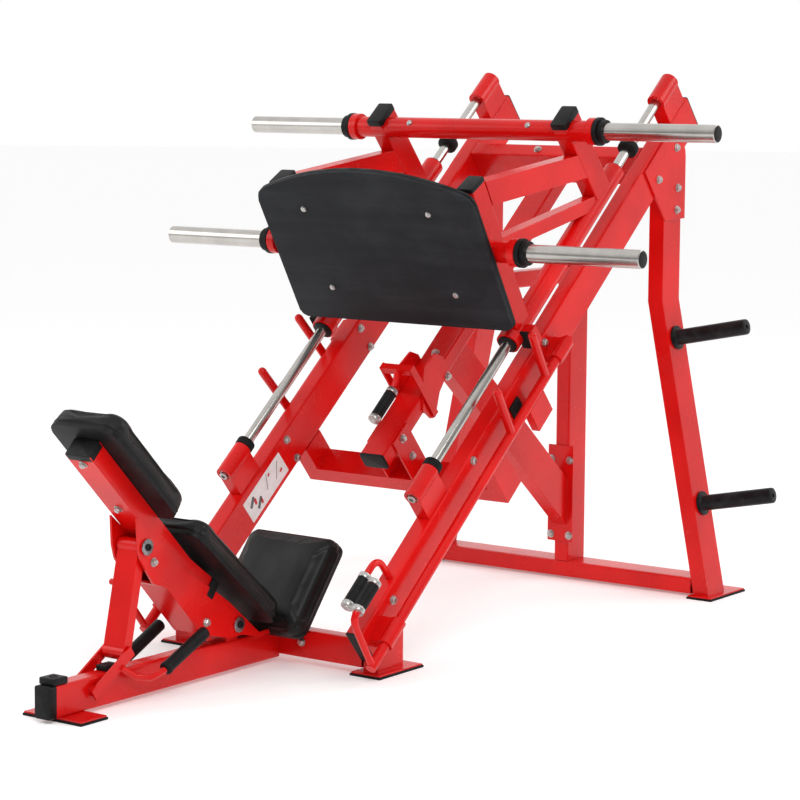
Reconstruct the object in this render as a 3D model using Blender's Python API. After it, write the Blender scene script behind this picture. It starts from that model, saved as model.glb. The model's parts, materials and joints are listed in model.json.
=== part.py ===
"""Plate-loaded leg press, built as a weldment of square tube with its moving units as separate bodies.

Metres, +Z up. X runs across the machine and +Y from the seat towards the high end of the rails.
The origin is the middle of the footprint, on the floor. Four frames (empties) carry the pieces:
machine (Y from the front end of the spine), rails (Y up the guide rods, Z square to them),
foot_plate_face (Y behind the plate, Z up the plate) and one on the axis of each hinge.
"""

import math

import bmesh
import bpy
from mathutils import Matrix, Vector

# Common sizes
CLEAR = 0.0003
WALL = 0.003
CORNER = 0.006
SIDES = (("right", 1), ("left", -1))
ALONG_X = (math.radians(90), 0, math.radians(90))
ALONG_Y = (math.radians(90), 0, 0)
ALONG_Z = (0, 0, 0)

# Inclined rails and guide rods: s runs up the rods, h square to them, h = 0 on the rod axis
RAIL_ANGLE = math.radians(40.2)
ROD_FOOT = Vector((0, 1.0554, 0.4417))
RAIL_X = 0.3216
RAIL_WIDTH = 0.050
RAIL_TOP_H = -0.078
RAIL_UNDER_H = -0.190
RAIL_START = -0.40
RAIL_END = 1.72
ROD_RADIUS = 0.015
ROD_START = 0.002
ROD_END = 1.7045

# Base
SPINE_WIDTH = 0.050
SPINE_UNDER = 0.010
SPINE_TOP = 0.090
SPINE_LENGTH = 0.8697
PAD_TOP = 0.0052
PLATE_UNDER = 0.0055
PLATE_TOP = 0.0105
FRONT_BAR_Y = (0.870, 0.920)
FRONT_BAR_Z = (0.018, 0.093)
FRONT_POST_Y = (0.8745, 0.990)
REAR_Y = (2.295, 2.395)
KNEE_Z = 0.885
REAR_FOOT_X = 0.500
REAR_BAR_HALF = 0.4622
CENTRE_POST_TOP = 1.0

# Centre column under the carriage
COLUMN_WIDTH = 0.080
COLUMN_H = (-0.165, -0.115)
COLUMN_S = (0.227, 1.4455)
LOWER_BAR_S = (0.280, 0.362)
LOWER_BAR_H = (-0.320, -0.270)
CROSSBEAM_S = (1.444, 1.494)

# Carriage
BEARING_RADIUS = 0.030
BEARING_S = (0.582, 1.300)
UPRIGHT_S = (1.148, 1.230)
UPRIGHT_TOP = 0.300
UPPER_AXLE = (1.176, 0.2585)
TUBE_RADIUS = 0.030
TUBE_HALF = 0.425
SLEEVE_RADIUS = 0.025
SLEEVE_END = 0.806
PLATE_ANGLE = math.radians(30.66)
PLATE_FACE = Vector((0, 1.404, 0.951))
PLATE_THICKNESS = 0.022
PLATE_HALF = 0.367
MOUNT_HEIGHTS = (("lower", 0.0), ("upper", 0.263))
LOWER_AXLE = (0.0618, 0.1095)
ARM_DEPTH = (0.0435, 0.1110)

# Stop shafts on the outside of the rails
STOP_X = 0.385
STOP_H = -0.135
STOP_RADIUS = 0.014
STOP_BORE = 0.0145
STOP_S = (-0.46, 0.745)

# Back, seat and lift linkage (Y, Z in the machine frame)
BACK_HINGE = Vector((0, 0.672, 0.134))
STRUT_TOP = Vector((0, 0.318, 0.387))
FORK_HINGE = Vector((0, 0.145, 0.055))
STRUT_FOOT = Vector((0, 0.260, 0.128))
PIN_RADIUS = 0.008
OPEN_PIVOT_BORE = 0.0098

# Range stop lever on the column
RANGE_HINGE = Vector((0, 0.471, -0.186))


def rail_point(s, h):
    """The machine-frame (Y, Z) of a point on the rails' side view."""
    y = ROD_FOOT.y + s * math.cos(RAIL_ANGLE) - h * math.sin(RAIL_ANGLE)
    z = ROD_FOOT.z + s * math.sin(RAIL_ANGLE) + h * math.cos(RAIL_ANGLE)
    return y, z


HALF_LENGTH = rail_point(RAIL_END, RAIL_UNDER_H)[0] / 2


# ---------------------------------------------------------------- scene and finishes


def clear_scene():
    for thing in list(bpy.data.objects):
        bpy.data.objects.remove(thing, do_unlink=True)


def new_collection(name, hidden=False):
    collection = bpy.data.collections.new(name)
    collection.hide_render = hidden
    bpy.context.scene.collection.children.link(collection)
    return collection


def new_frame(name, parent=None, location=(0, 0, 0), turn=(0, 0, 0)):
    """An empty that carries a group of pieces."""
    frame = bpy.data.objects.new(name, None)
    frame.parent = parent
    frame.location = location
    frame.rotation_euler = turn
    PARTS.objects.link(frame)
    return frame


def finish(name, colour, roughness, metallic=0.0):
    material = bpy.data.materials.new(name)
    material.use_nodes = True
    shader = material.node_tree.nodes["Principled BSDF"]
    shader.inputs["Base Color"].default_value = (*colour, 1)
    shader.inputs["Roughness"].default_value = roughness
    shader.inputs["Metallic"].default_value = metallic
    material.diffuse_color = (*colour, 1)
    return material


# ---------------------------------------------------------------- outlines


def circle(radius, centre=(0, 0), sides=24):
    turns = (2 * math.pi * i / sides for i in range(sides))
    return [(centre[0] + radius * math.cos(t), centre[1] + radius * math.sin(t)) for t in turns]


def arc(radius, centre, start, end, steps):
    """Points on an arc, the angles in degrees."""
    angles = (math.radians(start + (end - start) * i / steps) for i in range(steps + 1))
    return [(centre[0] + radius * math.cos(a), centre[1] + radius * math.sin(a)) for a in angles]


def rounded_rectangle(width, height, radius, steps=2):
    x = width / 2 - radius
    y = height / 2 - radius
    corners = ((x, y, 0), (-x, y, 90), (-x, -y, 180), (x, -y, 270))
    return [p for cx, cy, a in corners for p in arc(radius, (cx, cy), a, a + 90, steps)]


def band(points, half_width):
    """The outline of a strip of even width about an open line, mitred where the line bends."""
    line = [Vector(p) for p in points]
    steps = [(b - a).normalized() for a, b in zip(line, line[1:])]
    left = []
    right = []
    for i, point in enumerate(line):
        before = steps[max(i - 1, 0)]
        after = steps[min(i, len(steps) - 1)]
        across = Vector((-before.y - after.y, before.x + after.x)).normalized()
        reach = half_width / across.dot(Vector((-after.y, after.x)))
        left.append(tuple(point + across * reach))
        right.append(tuple(point - across * reach))
    return left + right[::-1]


def keyhole(radius, half_foot, foot):
    """A round boss about the origin that stands on a straight-sided foot."""
    side = math.degrees(math.acos(half_foot / radius))
    return [(half_foot, foot)] + arc(radius, (0, 0), -side, 180 + side, 16) + [(-half_foot, foot)]


def shifted(points, by):
    """The outline with its (Y, Z) points measured from the hinge at by."""
    return [(y - by.y, z - by.z) for y, z in points]


# ---------------------------------------------------------------- solids


def place(name, mesh, frame, location, turn, material, hidden=False):
    piece = bpy.data.objects.new(name, mesh)
    piece.parent = frame
    piece.location = location
    piece.rotation_euler = turn
    mesh.materials.clear()
    mesh.materials.append(material)
    (TOOLS if hidden else PARTS).objects.link(piece)
    mesh.shade_smooth()
    mesh.set_sharp_from_angle(angle=math.radians(35))
    if hidden:
        piece.hide_render = True
        piece.display_type = "WIRE"
    return piece


def mesh_of_curve(curve):
    """The curve's closed mesh, with its loose caps welded on."""
    guide = bpy.data.objects.new(curve.name, curve)
    TOOLS.objects.link(guide)
    graph = bpy.context.evaluated_depsgraph_get()
    mesh = bpy.data.meshes.new_from_object(guide.evaluated_get(graph))
    bpy.data.objects.remove(guide)
    work = bmesh.new()
    work.from_mesh(mesh)
    bmesh.ops.remove_doubles(work, verts=work.verts, dist=0.00001)
    bmesh.ops.recalc_face_normals(work, faces=work.faces)
    work.to_mesh(mesh)
    work.free()
    return mesh


def prism(name, loops, length, frame, location, turn, material, hidden=False):
    """Closed outlines (the first the outside, the rest holes) drawn out to length."""
    curve = bpy.data.curves.new(name, "CURVE")
    curve.dimensions = "2D"
    curve.fill_mode = "BOTH"
    curve.extrude = length / 2
    for loop in loops:
        spline = curve.splines.new("POLY")
        spline.points.add(len(loop) - 1)
        for point, (x, y) in zip(spline.points, loop):
            point.co = (x, y, 0, 1)
        spline.use_cyclic_u = True
    return place(name, mesh_of_curve(curve), frame, location, turn, material, hidden)


def bent_rod(name, points, radius, frame, location, material, hidden=False):
    """A round bar along a line of points."""
    curve = bpy.data.curves.new(name, "CURVE")
    curve.dimensions = "3D"
    curve.bevel_depth = radius
    curve.bevel_resolution = 3
    curve.use_fill_caps = True
    spline = curve.splines.new("POLY")
    spline.points.add(len(points) - 1)
    for point, co in zip(spline.points, points):
        point.co = (*co, 1)
    return place(name, mesh_of_curve(curve), frame, location, ALONG_Z, material, hidden)


def block(name, low, high, frame, material, hidden=False):
    """A box between two corners of its frame."""
    low = Vector(low)
    high = Vector(high)
    mesh = bpy.data.meshes.new(name)
    work = bmesh.new()
    size = high - low
    bmesh.ops.create_cube(work, size=1, matrix=Matrix.Diagonal((*size, 1)))
    work.to_mesh(mesh)
    work.free()
    return place(name, mesh, frame, (low + high) / 2, ALONG_Z, material, hidden)


def round_bar(name, radius, ends, frame, across, along, material, hidden=False, sides=24):
    """A solid cylinder along X ('X') or Y ('Y') between two ends, with its axis at across."""
    mesh = bpy.data.meshes.new(name)
    work = bmesh.new()
    length = ends[1] - ends[0]
    bmesh.ops.create_cone(
        work, cap_ends=True, segments=sides, radius1=radius, radius2=radius, depth=length
    )
    work.to_mesh(mesh)
    work.free()
    middle = (ends[0] + ends[1]) / 2
    location = (middle, *across) if along == "X" else (across[0], middle, across[1])
    turn = ALONG_X if along == "X" else ALONG_Y
    return place(name, mesh, frame, location, turn, material, hidden)


def ball(name, radius, frame, location, material, hidden=False):
    mesh = bpy.data.meshes.new(name)
    work = bmesh.new()
    bmesh.ops.create_uvsphere(work, u_segments=12, v_segments=8, radius=radius)
    work.to_mesh(mesh)
    work.free()
    return place(name, mesh, frame, location, ALONG_Z, material, hidden)


def square_tube(name, width, height, length, frame, location, turn, hidden=False):
    """Open-ended rectangular tube in red paint."""
    loops = [
        rounded_rectangle(width, height, CORNER),
        rounded_rectangle(width - 2 * WALL, height - 2 * WALL, CORNER - WALL, steps=1),
    ]
    return prism(name, loops, length, frame, location, turn, RED, hidden)


def boolean(piece, other, operation):
    step = piece.modifiers.new(other.name, "BOOLEAN")
    step.operation = operation
    step.object = other
    step.solver = "EXACT"
    return piece


def cut(piece, *others):
    for other in others:
        boolean(piece, other, "DIFFERENCE")
    return piece


def join(piece, *others):
    for other in others:
        boolean(piece, other, "UNION")
    return piece


def band_tube(name, points, size, frame, location, turn, openings=0.02):
    """A rectangular tube whose side view is a mitred band. Its hollow runs out past both ends.

    size is (width in the side view, width across it).
    """
    tube = prism(name, [band(points, size[0] / 2)], size[1], frame, location, turn, RED)
    line = [Vector(p) for p in points]
    first = line[0] + (line[0] - line[1]).normalized() * openings
    last = line[-1] + (line[-1] - line[-2]).normalized() * openings
    inner = band([first, *line[1:-1], last], size[0] / 2 - WALL)
    hollow = prism(
        name + "_hollow", [inner], size[1] - 2 * WALL, frame, location, turn, RED, hidden=True
    )
    return cut(tube, hollow)


# ---------------------------------------------------------------- trimming planes


def make_trimmers():
    """Large blocks that cut a tube's end to the face it meets."""
    wide = 0.7
    return {
        "rails": block(
            "above_rail_undersides", (-wide, -1, RAIL_UNDER_H - CLEAR), (wide, 3, 1), RAILS, RED, True
        ),
        "column": block(
            "above_column_underside", (-wide, -1, COLUMN_H[0] - CLEAR), (wide, 3, 1), RAILS, RED, True
        ),
        "floor": block("below_foot_plates", (-wide, 2, -0.2), (wide, 3, 0.0103), MACHINE, RED, True),
        "flange": block("behind_brace_flange", (-wide, 2.2885, 0), (wide, 3, 1), MACHINE, RED, True),
        "upright": block(
            "upright_space",
            (-wide, UPRIGHT_S[0] - CLEAR, -1),
            (wide, UPRIGHT_S[0] + 0.4, 1),
            CARRIAGE,
            RED,
            True,
        ),
        "arm": block(
            "front_arm_space", (-wide, -0.2, -1), (wide, ARM_DEPTH[1] + CLEAR, 1), PLATE, RED, True
        ),
    }


# ---------------------------------------------------------------- base frame


def foot_pad(name, low, high):
    """Rubber mat under a foot plate."""
    block(name, (*low, 0), (*high, PAD_TOP), MACHINE, RUBBER)


def build_spine():
    half = SPINE_WIDTH / 2
    middle = (SPINE_UNDER + SPINE_TOP) / 2
    spine = square_tube(
        "spine",
        SPINE_WIDTH,
        SPINE_TOP - SPINE_UNDER,
        SPINE_LENGTH,
        MACHINE,
        (0, SPINE_LENGTH / 2, middle),
        ALONG_Y,
    )
    plate_low = (-0.0935, 0.031)
    plate_high = (0.0935, 0.121)
    plate = block(
        "spine_foot_plate", (*plate_low, PLATE_UNDER), (*plate_high, PLATE_TOP), MACHINE, RED, True
    )
    hinge = (BACK_HINGE.y, BACK_HINGE.z)
    base = SPINE_TOP - 0.001 - hinge[1]
    lug = prism(
        "back_hinge_lug", [keyhole(0.022, 0.0219, base)], 2 * half, MACHINE, (0, *hinge), ALONG_X, RED, True
    )
    bore = PIN_RADIUS + 2 * CLEAR
    hinge_bore = round_bar("hinge_bore", bore, (-0.1, 0.1), MACHINE, hinge, "X", RED, True)
    fork_bore = round_bar(
        "fork_bore", bore, (-0.1, 0.1), MACHINE, (FORK_HINGE.y, FORK_HINGE.z), "X", RED, True
    )
    cut(join(spine, plate, lug), hinge_bore, fork_bore)
    foot_pad("foot_pad_front", plate_low, plate_high)


def build_front_feet():
    depth = FRONT_BAR_Y[1] - FRONT_BAR_Y[0]
    height = FRONT_BAR_Z[1] - FRONT_BAR_Z[0]
    square_tube(
        "front_crossbar",
        depth,
        height,
        2 * (RAIL_X - RAIL_WIDTH / 2 - CLEAR),
        MACHINE,
        (0, sum(FRONT_BAR_Y) / 2, sum(FRONT_BAR_Z) / 2),
        ALONG_X,
    )
    post_top = 0.16
    post_foot = 0.0103
    for side, sign in SIDES:
        post = square_tube(
            f"front_post_{side}",
            RAIL_WIDTH,
            FRONT_POST_Y[1] - FRONT_POST_Y[0],
            post_top - post_foot,
            MACHINE,
            (sign * RAIL_X, sum(FRONT_POST_Y) / 2, (post_top + post_foot) / 2),
            ALONG_Z,
        )
        cut(post, TRIM["rails"])
        xs = sorted((sign * 0.278, sign * 0.370))
        low = (xs[0], 0.850)
        high = (xs[1], 1.040)
        plate = block(
            f"front_plate_{side}", (*low, PLATE_UNDER), (*high, PLATE_TOP), MACHINE, RED, True
        )
        join(post, plate)
        foot_pad(f"foot_pad_middle_{side}", low, high)


def build_rails():
    """Each rail carries the two bearings of its stop shaft on its outer face."""
    for side, sign in SIDES:
        rail = square_tube(
            f"rail_{side}",
            RAIL_WIDTH,
            RAIL_TOP_H - RAIL_UNDER_H,
            RAIL_END - RAIL_START,
            RAILS,
            (sign * RAIL_X, (RAIL_START + RAIL_END) / 2, (RAIL_TOP_H + RAIL_UNDER_H) / 2),
            ALONG_Y,
        )
        axis = (sign * STOP_X, STOP_H)
        root = sign * (RAIL_X + RAIL_WIDTH / 2 - 0.001)
        for end, span in (("lower", (-0.38, -0.30)), ("upper", (0.66, 0.735))):
            boss = round_bar(f"{side}_{end}_bearing", 0.020, span, RAILS, axis, "Y", RED, True)
            xs = sorted((root, axis[0]))
            web = block(
                f"{side}_{end}_web",
                (xs[0], span[0], STOP_H - 0.014),
                (xs[1], span[1], STOP_H + 0.014),
                RAILS,
                RED,
                True,
            )
            join(rail, boss, web)
        cut(rail, round_bar(f"{side}_stop_bore", STOP_BORE, (-1, 1), RAILS, axis, "Y", RED, True))


def build_guide_rods():
    foot = RAIL_TOP_H + CLEAR
    for side, sign in SIDES:
        round_bar(
            f"guide_rod_{side}",
            ROD_RADIUS,
            (ROD_START, ROD_END),
            RAILS,
            (sign * RAIL_X, 0),
            "Y",
            CHROME,
        )
        hole = circle(ROD_RADIUS + CLEAR)
        prism(
            f"rod_socket_{side}",
            [keyhole(0.025, 0.020, foot), hole],
            0.105,
            RAILS,
            (sign * RAIL_X, 0.0525, 0),
            ALONG_Y,
            RED,
        )
        prism(
            f"rod_top_bracket_{side}",
            [keyhole(0.0275, 0.0225, foot), hole],
            0.105,
            RAILS,
            (sign * RAIL_X, 1.6525, 0),
            ALONG_Y,
            RED,
        )


def build_lower_crossbar():
    """A U of tube that hangs under the rails and carries the column's foot between two plates."""
    middle = sum(LOWER_BAR_S) / 2
    bar_h = sum(LOWER_BAR_H) / 2
    top = RAIL_UNDER_H - CLEAR
    points = [(-RAIL_X, top), (-RAIL_X, bar_h), (RAIL_X, bar_h), (RAIL_X, top)]
    size = (RAIL_WIDTH, LOWER_BAR_S[1] - LOWER_BAR_S[0])
    bar = band_tube("lower_crossbar", points, size, RAILS, (0, middle, 0), ALONG_Y)
    inner = COLUMN_WIDTH / 2 + CLEAR
    for side, sign in SIDES:
        xs = sorted((sign * inner, sign * (inner + 0.006)))
        plate = block(
            f"{side}_column_plate",
            (xs[0], LOWER_BAR_S[0], LOWER_BAR_H[1] - 0.001),
            (xs[1], LOWER_BAR_S[1], -0.120),
            RAILS,
            RED,
            True,
        )
        join(bar, plate)


def build_column():
    """The column and the crossbeam at its top, with the cheek plates of the range stop lever."""
    column = square_tube(
        "centre_column",
        COLUMN_WIDTH,
        COLUMN_H[1] - COLUMN_H[0],
        COLUMN_S[1] - COLUMN_S[0],
        RAILS,
        (0, sum(COLUMN_S) / 2, sum(COLUMN_H) / 2),
        ALONG_Y,
    )
    cheek = [
        (0.440, -0.150),
        (0.452, -0.196),
        *arc(0.020, (RANGE_HINGE.y, RANGE_HINGE.z), 210, 330, 6),
        (0.530, -0.168),
        (0.606, -0.150),
        (0.606, -0.100),
        (0.585, -0.068),
        (0.520, -0.060),
        (0.480, -0.100),
    ]
    for side, sign in SIDES:
        x = sign * (COLUMN_WIDTH / 2 + 0.0028)
        join(column, prism(f"{side}_cheek", [cheek], 0.0066, RAILS, (x, 0, 0), ALONG_X, RED, True))
    beam = square_tube(
        "upper_crossbeam",
        CROSSBEAM_S[1] - CROSSBEAM_S[0],
        RAIL_TOP_H - RAIL_UNDER_H,
        2 * (RAIL_X - RAIL_WIDTH / 2 - CLEAR),
        RAILS,
        (0, sum(CROSSBEAM_S) / 2, (RAIL_TOP_H + RAIL_UNDER_H) / 2),
        ALONG_X,
        hidden=True,
    )
    axis = (RANGE_HINGE.y, RANGE_HINGE.z)
    bore = PIN_RADIUS + 2 * CLEAR
    pin_bore = round_bar("range_bore", bore, (-0.1, 0.1), RAILS, axis, "X", RED, True)
    cut(join(column, beam), pin_bore)


def build_rear_frame():
    middle = sum(REAR_Y) / 2
    depth = REAR_Y[1] - REAR_Y[0]
    lean = (REAR_FOOT_X - RAIL_X) / KNEE_Z
    for side, sign in SIDES:
        line = [(RAIL_X, 1.40), (RAIL_X, KNEE_Z), (REAR_FOOT_X + 0.02 * lean, -0.02)]
        points = [(sign * x, z) for x, z in line]
        post = band_tube(
            f"rear_post_{side}", points, (RAIL_WIDTH, depth), MACHINE, (0, middle, 0), ALONG_Y
        )
        cut(post, TRIM["rails"], TRIM["floor"])
        xs = sorted((sign * 0.470, sign * 0.549))
        low = (xs[0], 2.265)
        high = (xs[1], 2.472)
        plate = block(f"rear_plate_{side}", (*low, PLATE_UNDER), (*high, PLATE_TOP), MACHINE, RED, True)
        join(post, plate)
        foot_pad(f"foot_pad_rear_{side}", low, high)
    square_tube(
        "rear_crossbar", depth, 0.050, 2 * REAR_BAR_HALF, MACHINE, (0, middle, 0.033), ALONG_X
    )
    post_foot = 0.0583
    post = square_tube(
        "centre_post",
        SPINE_WIDTH,
        depth,
        CENTRE_POST_TOP - post_foot,
        MACHINE,
        (0, middle, (CENTRE_POST_TOP + post_foot) / 2),
        ALONG_Z,
    )
    tie_start = 1.86
    tie_end = REAR_Y[0] + WALL / 2
    tie = square_tube(
        "centre_tie",
        SPINE_WIDTH - 2 * CLEAR,
        0.050,
        tie_end - tie_start,
        MACHINE,
        (0, (tie_start + tie_end) / 2, 0.950),
        ALONG_Y,
        hidden=True,
    )
    cut(join(post, tie), TRIM["column"])
    brace_line = [(1.580, 0.834), (2.330, 0.211)]
    brace = band_tube("column_brace", brace_line, (0.112, 0.050), MACHINE, (0, 0, 0), ALONG_X)
    low = (-0.045, REAR_Y[0] - 0.0075, 0.12)
    high = (0.045, REAR_Y[0] - CLEAR, 0.42)
    flange = block("brace_flange", low, high, MACHINE, RED, True)
    join(cut(brace, TRIM["column"], TRIM["flange"]), flange)


def build_gussets():
    outline = [
        rail_point(1.39, -0.086),
        rail_point(1.61, -0.086),
        rail_point(1.61, -0.186),
        (2.409, 1.318),
        (2.409, 1.130),
        (2.295, 1.126),
    ]
    thickness = 0.006
    for side, sign in SIDES:
        x = sign * (RAIL_X + RAIL_WIDTH / 2 + CLEAR + thickness / 2)
        prism(f"gusset_{side}", [outline], thickness, MACHINE, (x, 0, 0), ALONG_X, RED)


def build_storage_horns():
    """Two pegs for spare plates stand square on the sloping face of each rear post."""
    lean = math.atan((REAR_FOOT_X - RAIL_X) / KNEE_Z)
    face = REAR_FOOT_X + RAIL_WIDTH / 2 / math.cos(lean)
    for side, sign in SIDES:
        frame = new_frame(
            f"rear_post_face_{side}", MACHINE, (sign * face, sum(REAR_Y) / 2, 0), (0, -sign * lean, 0)
        )
        for level, height in (("lower", 0.285), ("upper", 0.789)):
            name = f"storage_horn_{level}_{side}"
            across = (0, height)
            shank = sorted((sign * 0.002, sign * 0.243))
            horn = round_bar(name, 0.0235, shank, frame, across, "X", RUBBER)
            rim = sorted((sign * CLEAR, sign * 0.0065))
            join(horn, round_bar(name + "_rim", 0.036, rim, frame, across, "X", RED, True))
            tip = sorted((sign * 0.225, sign * 0.26))
            cut(horn, round_bar(name + "_hole", 0.006, tip, frame, across, "X", RED, True, sides=12))


def build_fixed_handles():
    root = RAIL_TOP_H + 2 * CLEAR
    for side, sign in SIDES:
        bend = arc(0.035, (-0.240, -0.035), 0, 90, 5)
        points = [(0, -0.205, root)] + [(0, s, h) for s, h in bend] + [(0, -0.372, 0)]
        location = (sign * 0.325, 0, 0)
        handle = bent_rod(f"fixed_handle_{side}", points, 0.0095, RAILS, location, CHROME)
        grip = round_bar(
            f"{side}_fixed_grip", 0.0155, (-0.375, -0.270), RAILS, (sign * 0.325, 0), "Y", RUBBER, True
        )
        join(handle, grip)


# ---------------------------------------------------------------- carriage


def build_bearing_tubes():
    """A tube that slides on a guide rod, with bushes only at its ends and a stop bracket outside."""
    for side, sign in SIDES:
        axis = (sign * RAIL_X, 0)
        tube = round_bar(f"bearing_tube_{side}", BEARING_RADIUS, BEARING_S, CARRIAGE, axis, "Y", RED)
        collar = round_bar(
            f"{side}_collar", 0.034, (BEARING_S[0], 0.610), CARRIAGE, axis, "Y", RED, True
        )
        xs = sorted((sign * 0.340, sign * 0.3835))
        bracket = block(
            f"{side}_stop_bracket", (xs[0], 0.6103, -0.043), (xs[1], 0.650, 0.012), CARRIAGE, RED, True
        )
        bore = round_bar(f"{side}_rod_bore", 0.0158, (0, 2), CARRIAGE, axis, "Y", RED, True)
        relief = round_bar(f"{side}_relief", 0.0262, (0.640, 1.250), CARRIAGE, axis, "Y", RED, True)
        cut(join(tube, collar, bracket), bore, relief)


def build_carriage_frames():
    """The triangulated side frame that stands on each bearing tube."""
    width = RAIL_WIDTH
    for side, sign in SIDES:
        x = sign * RAIL_X
        saddle = round_bar(
            f"{side}_saddle", BEARING_RADIUS + CLEAR, (0, 2), CARRIAGE, (x, 0), "Y", RED, True
        )
        axle = round_bar(
            f"{side}_upper_axle_hole", TUBE_RADIUS + CLEAR, (-1, 1), CARRIAGE, UPPER_AXLE, "X", RED, True
        )
        lower_axle = round_bar(
            f"{side}_lower_axle_hole", TUBE_RADIUS + CLEAR, (-1, 1), PLATE, LOWER_AXLE, "X", RED, True
        )
        upright = square_tube(
            f"carriage_upright_{side}",
            width,
            UPRIGHT_S[1] - UPRIGHT_S[0],
            UPRIGHT_TOP - 0.010,
            CARRIAGE,
            (x, sum(UPRIGHT_S) / 2, (UPRIGHT_TOP + 0.010) / 2),
            ALONG_Z,
        )
        cut(upright, saddle, axle)
        arm_low = -0.142
        arm_top = 0.315
        arm = square_tube(
            f"front_arm_{side}",
            width,
            ARM_DEPTH[1] - ARM_DEPTH[0],
            arm_top - arm_low,
            PLATE,
            (x, sum(ARM_DEPTH) / 2, (arm_top + arm_low) / 2),
            ALONG_Z,
        )
        cut(arm, saddle, lower_axle)
        top_line = [(1.300, 1.2275), (1.920, 1.3075)]
        upper = band_tube(f"upper_arm_{side}", top_line, (0.070, width), CARRIAGE_SIDE, (x, 0, 0), ALONG_X)
        cut(upper, TRIM["arm"], TRIM["upright"])
        low_line = [(1.360, 1.0765), (1.960, 1.2005)]
        brace = band_tube(
            f"carriage_brace_{side}", low_line, (0.040, 0.040), CARRIAGE_SIDE, (x, 0, 0), ALONG_X
        )
        cut(brace, TRIM["arm"], TRIM["upright"], saddle)


def build_weight_axles():
    axles = (("upper", CARRIAGE, UPPER_AXLE), ("lower", PLATE, LOWER_AXLE))
    for level, frame, (y, z) in axles:
        loops = [circle(TUBE_RADIUS), circle(TUBE_RADIUS - 0.004)]
        prism(f"{level}_cross_tube", loops, 2 * TUBE_HALF, frame, (0, y, z), ALONG_X, RED)
        start = TUBE_HALF + CLEAR
        for side, sign in SIDES:
            name = f"weight_sleeve_{level}_{side}"
            ends = sorted((sign * start, sign * SLEEVE_END))
            sleeve = round_bar(name, SLEEVE_RADIUS, ends, frame, (y, z), "X", CHROME)
            ends = sorted((sign * start, sign * 0.455))
            collar = round_bar(name + "_collar", 0.040, ends, frame, (y, z), "X", RUBBER, True)
            bore = round_bar(name + "_bore", SLEEVE_RADIUS - 0.004, (-1, 1), frame, (y, z), "X", RED, True)
            cut(join(sleeve, collar), bore)


def plate_outline():
    """The foot plate: square below, with a shallow arch over the top."""
    low = -0.110
    corner = 0.020
    crown = 0.390
    shoulder = (0.345, 0.323)
    rise = crown - shoulder[1]
    radius = (shoulder[0] ** 2 + rise**2) / (2 * rise)
    half_angle = math.degrees(math.asin(shoulder[0] / radius))
    half = PLATE_HALF
    return [
        *arc(corner, (half - corner, low + corner), -90, 0, 4),
        (half, 0.288),
        (half - 0.006, 0.308),
        *arc(radius, (0, crown - radius), 90 - half_angle, 90 + half_angle, 16),
        (-half + 0.006, 0.308),
        (-half, 0.288),
        *arc(corner, (-half + corner, low + corner), 180, 270, 4),
    ]


def build_foot_plate():
    thickness = PLATE_THICKNESS
    prism(
        "foot_plate", [plate_outline()], thickness, PLATE, (0, thickness / 2, 0), ALONG_Y, RUBBER
    )
    front = PLATE_THICKNESS + CLEAR
    rear = ARM_DEPTH[0] - CLEAR
    for level, height in MOUNT_HEIGHTS:
        square_tube(
            f"{level}_plate_mount",
            rear - front,
            0.040,
            0.68,
            PLATE,
            (0, (front + rear) / 2, height),
            ALONG_X,
        )


# ---------------------------------------------------------------- stop shafts and range lever


def build_stop_shafts():
    """A shaft beside each rail with two stop arms, a counterweight and a crank with a hand grip."""
    for side, sign in SIDES:
        frame = new_frame(f"stop_hinge_{side}", RAILS, (sign * STOP_X, 0, STOP_H))
        shaft = round_bar(f"stop_shaft_{side}", STOP_RADIUS, STOP_S, frame, (0, 0), "Y", RED)
        for end, s in (("upper", 0.595), ("lower", 0.375)):
            tip = (sign * 0.021, s, 0.160)
            arm = bent_rod(f"{side}_{end}_arm", [(0, s, 0), tip], 0.0125, frame, (0, 0, 0), RED, True)
            join(shaft, arm, ball(f"{side}_{end}_tip", 0.0125, frame, tip, RED, True))
        weight = block(
            f"{side}_counterweight", (-0.0125, 0.465, -0.083), (0.0125, 0.550, -0.008), frame, RED, True
        )
        crank_line = [
            (0, -0.450, 0),
            (sign * 0.010, -0.440, 0.145),
            (sign * 0.010, -0.430, 0.163),
            (sign * 0.010, -0.415, 0.170),
            (sign * 0.010, -0.305, 0.170),
        ]
        crank = bent_rod(f"{side}_crank", crank_line, 0.010, frame, (0, 0, 0), RED, True)
        grip = round_bar(
            f"{side}_stop_grip", 0.0155, (-0.410, -0.310), frame, (sign * 0.010, 0.170), "Y", RUBBER, True
        )
        join(shaft, weight, crank, grip)


def build_range_lever():
    """A yoke over the column, with a hand grip that points down the slope."""
    frame = new_frame("range_hinge", RAILS, RANGE_HINGE)
    outer = 0.054
    thickness = 0.006
    height = 0.166
    pin = round_bar("range_stop_lever", PIN_RADIUS, (-outer, outer), frame, (0, 0), "X", RED)
    for side, sign in SIDES:
        x = sign * (outer - thickness / 2)
        line = [(0, -0.012), (0, height + 0.01)]
        arm = prism(f"{side}_yoke", [band(line, 0.011)], thickness, frame, (x, 0, 0), ALONG_X, RED, True)
        join(pin, arm)
    bridge = block(
        "yoke_bridge", (-outer, -0.010, height - 0.012), (outer, 0.010, height + 0.009), frame, RED, True
    )
    neck_line = [(0, 0, height), (0, -0.03, 0.145), (0, -0.06, 0.136)]
    neck = bent_rod("grip_neck", neck_line, 0.009, frame, (0, 0, 0), RED, True)
    grip = round_bar("range_grip", 0.0155, (-0.171, -0.056), frame, (0, 0.136), "Y", RUBBER, True)
    join(pin, bridge, neck, grip)


# ---------------------------------------------------------------- back, seat and lift linkage


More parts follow.
